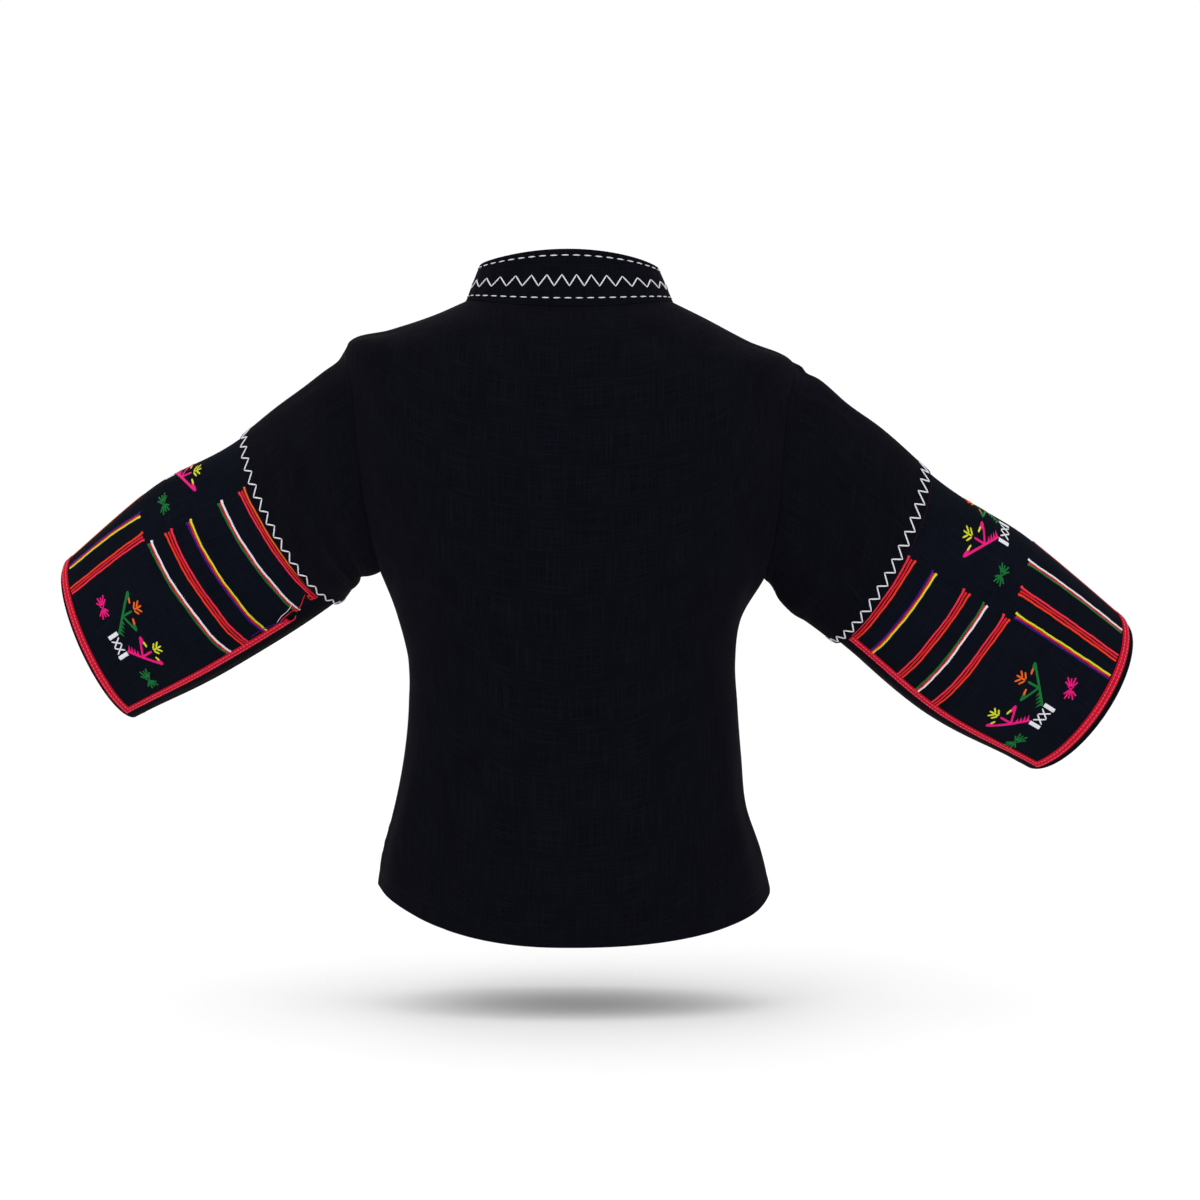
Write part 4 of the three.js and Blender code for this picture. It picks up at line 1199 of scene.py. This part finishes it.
def lay_sprig(field, degrees, colour):
    """Two small fans of leaves, foot to foot."""
    for way in (-1, 1):
        for lean, length in SPRIG_LEAVES:
            foot = turned((1.4 * way, 1.1 * lean / 44), degrees)
            slant = np.radians(lean)
            tip = turned((length * way * np.cos(slant), length * np.sin(slant)), degrees)
            field.tooth(tip, foot, 1.8, colour)
            field.stroke(foot, foot + (tip - foot) * 0.9, 1.7, colour, taper=0.35)
    for way in (-1, 1):
        field.stroke(turned((-1.5, 2.6 * way), degrees), turned((1.5, -1.2 * way), degrees), 1.2, colour)


def make_embroidery(side):
    threads = Threads(f"embroidery_{side}", PALETTE)
    for kind, weight, start, end, colours in STRIPES[side]:
        lay_stripe(threads, side, kind, weight, start, end, colours)
        is_middle = kind == "long" and abs(end[0] - MIDDLE_STRIPE[side]) < 5
        if not is_middle:
            start, end = ((hidden_turn(side, place[0]), place[1]) for place in (start, end))
            order = colours if kind == "cross" else colours[::-1]
            lay_stripe(threads, side, kind, weight, start, end, order)
    for k, middle in enumerate(MOTIFS[side]):
        lay_motif(Field(threads, side, middle, MOTIF_SCALE))
        if k > 0:
            other = (hidden_turn(side, middle[0]), middle[1])
            lay_motif(Field(threads, side, other, HIDDEN_MOTIF_SCALE, True))
    for middle, degrees, colour in SPRIGS[side]:
        lay_sprig(Field(threads, side, middle, SPRIG_SCALE), degrees, colour)
        other = (hidden_turn(side, middle[0]), middle[1])
        lay_sprig(Field(threads, side, other, HIDDEN_SPRIG_SCALE, True), degrees, colour)
    # The stitched line at the band's top edge
    turn = np.linspace(-116, 136, 900)
    points, normals = sleeve_face(side, turn, SEAM + UPPER_LAP + 1.2)
    threads.dash(points, normals, 1.3, 1.1, 0.55, 0.3, "maroon")
    if side == "left":
        lay_loose_threads(threads)
    threads.piece("band")


# Loose thread ends where the left binding has come off, as (turn, out, height) along each
LOOSE = [
    ("red", 0.8, [(148, 168, 0.7), (146, 161, 1.2), (145, 152, 0.8), (146, 146, 1.6), (144, 140, 2.6),
                  (141, 133, 1.4), (139, 127, 0.6)]),
    ("white", 0.6, [(147, 170, 0.5), (144, 163, 0.9), (143, 156, 0.5), (141, 150, 0.9), (139, 145, 0.4)]),
    ("purple", 0.6, [(146, 196, 0.6), (145, 186, 0.8), (146, 176, 1.0), (148, 169, 0.7), (150, 163, 1.2)]),
    ("coral", 0.9, [(150, 167, 0.9), (152, 162, 1.6), (153, 157, 1.2), (151, 153, 0.7)]),
    ("flame", 0.9, [(144, 128, 0.9), (146, 125, 1.7), (143, 123, 1.9), (141, 126, 1.2), (145, 128, 0.8)]),
]


def lay_loose_threads(threads):
    for colour, thick, places in LOOSE:
        table = np.array(places, float)
        at = np.linspace(0, len(table) - 1, 12 * len(table))
        turn, out, lift = (spline(np.arange(len(table)), table[:, k], at) for k in range(3))
        points, normals = sleeve_face("left", turn, out, lift)
        ends = np.clip(np.minimum(at, at[-1] - at) * 4, 0.3, 1)
        threads.lay(points, normals, thick * ends, thick * ends, colour)


SLEEVE_ZIGZAG = {"corners": 70, "warp": 0.075, "low": 1.2, "high": -7.4, "wide": 1.35}


def make_sleeve_zigzag(side):
    """The white zigzag round each sleeve, just above the band."""
    threads = Threads(f"stitching_zigzag_{side}", ["white"])
    zigzag = SLEEVE_ZIGZAG
    even = np.linspace(-180, 180, zigzag["corners"] + 1)
    turn = even + zigzag["warp"] * np.degrees(np.sin(np.radians(2 * even)))
    out = SEAM + np.where(np.arange(len(even)) % 2 == 0, zigzag["low"], zigzag["high"])

    def surface(a, b):
        return sleeve_face(side, a, b, upper_lift(b))

    lay_zigzag(threads, turn, out, surface, zigzag["wide"])
    threads.piece("band")


# Black sewing: hems, the front's edges, buttonholes and the armhole seams
BLACK_WIDE, BLACK_HIGH = 0.5, 0.22
EDGE_STITCH = 2.2  # from the upper front's edge to its first row of stitches
PLACKET_STITCH = 8  # its second row lies the lap's width and this far from the centre front
HEM_SPANS = ((-87, 87, False), (93, 176, False), (-178, -93, True))  # in degrees, and whether it laps
CUFF_SPANS = {"left": (152, 232), "right": (166, 242)}  # where the black cuff shows
CUFF_STITCH = 6  # from the cuff's edge


def make_black_sewing():
    threads = Threads("stitching_black", ["black"])

    def line(angle, down, lift=0.0):
        points, normals = body_face(angle, down, lift)
        threads.dash(points, normals, STITCH, STITCH_GAP, BLACK_WIDE, BLACK_HIGH, "black")

    hem = np.full(700, HEM - HEM_STITCH)
    for low, high, is_lapped in HEM_SPANS:
        angle = np.linspace(low, high, len(hem))
        line(angle, hem, front_lift(angle, hem) * is_lapped)
    down = np.linspace(8, HEM - 4, 900)
    edge = 180 + angle_of(LAP - EDGE_STITCH, down)
    line(-edge, down, front_lift(-edge, down))
    far = 180 - angle_of(LAP + PLACKET_STITCH, down)
    line(-far, down, front_lift(-far, down))
    threads.piece("cloth")


def make_cuff_sewing(side):
    threads = Threads(f"stitching_cuff_{side}", ["black"])
    turn = np.linspace(*CUFF_SPANS[side], 160)
    points, normals = sleeve_face(side, turn, CUFF - CUFF_STITCH, BASE_LIFT)
    threads.dash(points, normals, STITCH, STITCH_GAP, BLACK_WIDE, BLACK_HIGH, "black")
    threads.piece("cloth")


# The buttons
BUTTON_PROFILE = [
    (0.0, 0.0), (4.9, 0.0), (5.35, 0.25), (5.6, 0.9), (5.5, 1.6), (5.1, 2.2), (4.6, 2.4), (4.15, 2.3),
    (3.75, 1.95), (3.4, 1.72), (2.6, 1.66), (1.2, 1.68), (0.0, 1.7),
]
TOP_POINTS = 4  # the last points of the profile, which the holes' finer rings replace
TOP_RADIUS, TOP_EDGE, TOP_MIDDLE = 3.4, 1.72, 1.7
HOLE_AT, HOLE_WIDE, HOLE_DEEP = 1.25, 0.62, 1.25
HOLE_OUT = 1.414 * HOLE_AT
BUTTON_FACE = 1.68
BUTTON_STEPS = 72


def button_form():
    """A button's points about its underside's middle, ring by ring, and their faces."""
    profile = np.array(BUTTON_PROFILE)
    radii = np.linspace(TOP_RADIUS, 0.15, 22)
    heights = np.interp(radii, [0, TOP_RADIUS], [TOP_MIDDLE, TOP_EDGE])
    rings = np.concatenate([profile[:-TOP_POINTS], np.stack([radii, heights], -1)])
    rows, steps = len(rings), BUTTON_STEPS
    turn = np.linspace(0, 2 * np.pi, steps, endpoint=False)
    x, y = rings[:, :1] * np.cos(turn), rings[:, :1] * np.sin(turn)
    z = np.broadcast_to(rings[:, 1:], x.shape).copy()
    is_top = np.arange(rows)[:, None] >= len(profile) - TOP_POINTS
    for around in np.pi / 4 + np.arange(4) * np.pi / 2:
        distance = np.hypot(x - HOLE_OUT * np.cos(around), y - HOLE_OUT * np.sin(around))
        z = z - is_top * HOLE_DEEP * (1 - smoothstep(HOLE_WIDE * 0.75, HOLE_WIDE * 1.15, distance))
    points = np.concatenate([np.stack([x, y, z], -1).reshape(-1, 3), [[0, 0, 0], [0, 0, BUTTON_FACE]]])
    row, k = (grid.ravel() for grid in np.indices((rows - 1, steps)))
    after = (k + 1) % steps
    low, high = row * steps, (row + 1) * steps
    faces = np.stack([low + k, low + after, high + after, high + k], -1)[steps:].tolist()
    k, after = k[:steps], after[:steps]
    for middle, ring, way in ((rows * steps, 1, 1), (rows * steps + 1, rows - 1, -1)):
        fan = np.stack([np.full(steps, middle), ring * steps + after, ring * steps + k], -1)
        faces += fan[:, ::way].tolist()
    return points, faces


def make_button(number, down):
    """A round four-hole button: its face's middle, the directions along it and the one out of it."""
    form, faces = button_form()
    base, normal = body_face(np.float64(180), np.float64(down), CLOTH + LAYER_GAP + BUTTON_GAP)
    side = unit(np.cross(np.array([0.0, 0, 1]), normal))
    up = np.cross(normal, side)
    mesh = bpy.data.meshes.new(f"button_body_{number}")
    mesh.from_pydata(((form @ np.stack([side, up, normal]) + base) * METRES).tolist(), [], faces)
    corners = np.zeros(len(mesh.loops), dtype=np.int32)
    mesh.loops.foreach_get("vertex_index", corners)
    place_on_cloth(mesh, form[corners, :2])
    piece = add_piece(mesh, [LOOKS["button"]], BUTTON_SHARP)
    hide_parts(f"button_{number}")
    return base + normal * BUTTON_FACE, side, up, normal


def button_downs():
    """Where the buttons lie down the centre front, evenly apart along the cloth."""
    downs = np.arange(FIRST_BUTTON, LAST_BUTTON + 1.0)
    run = lengths_along(body_base(180, downs), 0)
    return [downs[np.argmax(run >= length - 0.5)] for length in np.linspace(0, run[-1], BUTTONS)]


ARCH, SUNK_END = 0.35, 0.25  # the sewing thread over the button's face, and its ends in the holes
HOLE_ENDS = (6.2, 8.6)  # from the centre front to a buttonhole's end beside the button


def make_buttons():
    threads = Threads("stitching_buttons", ["black"])
    for i, down in enumerate(button_downs()):
        face, side, up, normal = make_button(i + 1, down)
        for hand in (-1, 1):
            at = np.linspace(-1, 1, 12)[:, None]
            points = face + (side * hand + up) * HOLE_AT * at + normal * (ARCH * (1 - at**4) - SUNK_END)
            threads.lay(points, np.broadcast_to(normal, points.shape), 0.6, 0.4, "black")
        for hand in (-1, 1):
            angle = -(180 - hand * angle_of(np.linspace(*HOLE_ENDS, 8), down))
            spot, normals = body_face(angle, np.full(8, down), CLOTH + LAYER_GAP)
            threads.lay(spot, normals, 1.6, 0.25, "black")
    threads.piece("button")


# The camera, the lights and the floor
CAMERA = (-0.027, 2.7, -0.2673)
LENS, SENSOR = 90, 36
FLOOR = -0.63
FLOOR_REACH = 30.0
WORLD_STRENGTH = 1.02
LIT_PLACE = (0, 0, -0.3)
LIGHTS = [  # name, place, size and power
    ("key", (1.4, 2.2, 1.6), 1.6, 11),
    ("fill", (-1.8, 1.9, 0.6), 1.8, 5),
    ("front", (0.6, -2.6, 1.5), 1.8, 9),
    ("over", (0, 0.1, 2.6), 2.2, 4),
]


def make_stage():
    camera = bpy.data.objects.new("camera", bpy.data.cameras.new("camera"))
    camera.data.lens = LENS
    camera.data.sensor_width = SENSOR
    camera.location = CAMERA
    camera.rotation_euler = (np.pi / 2, 0, np.pi)
    bpy.context.scene.collection.objects.link(camera)
    bpy.context.scene.camera = camera
    bpy.context.scene.view_settings.view_transform = "Standard"
    world = bpy.data.worlds.new("world")
    world.use_nodes = True
    background = world.node_tree.nodes["Background"]
    background.inputs["Color"].default_value = (1, 1, 1, 1)
    background.inputs["Strength"].default_value = WORLD_STRENGTH
    bpy.context.scene.world = world
    for name, place, size, power in LIGHTS:
        light = bpy.data.lights.new(name, "AREA")
        light.energy, light.size = power, size
        lamp = bpy.data.objects.new(name, light)
        lamp.location = place
        away = unit(np.array(place) - np.array(LIT_PLACE))
        lamp.rotation_euler = (np.arccos(away[2]), 0, np.arctan2(away[1], away[0]) + np.pi / 2)
        bpy.context.scene.collection.objects.link(lamp)
    reach = FLOOR_REACH
    mesh = bpy.data.meshes.new("floor")
    corners = [(x * reach, y * reach, FLOOR) for x, y in ((-1, -1), (1, -1), (1, 1), (-1, 1))]
    mesh.from_pydata(corners, [], [(0, 1, 2, 3)])
    mesh.uv_layers.new(name="cloth")
    mesh.materials.append(floor_look())
    floor = bpy.data.objects.new("floor", mesh)
    bpy.context.scene.collection.objects.link(floor)


make_stage()
make_back()
make_front("left")
make_front("right")
make_collar()
make_collar_stitching()
for name in SIDES:
    make_upper_sleeve(name)
    make_lower_sleeve(name)
    make_band(name)
    make_binding(name)
    make_binding_stitching(name)
    make_embroidery(name)
    make_sleeve_zigzag(name)
    make_cuff_sewing(name)
make_black_sewing()
make_buttons()
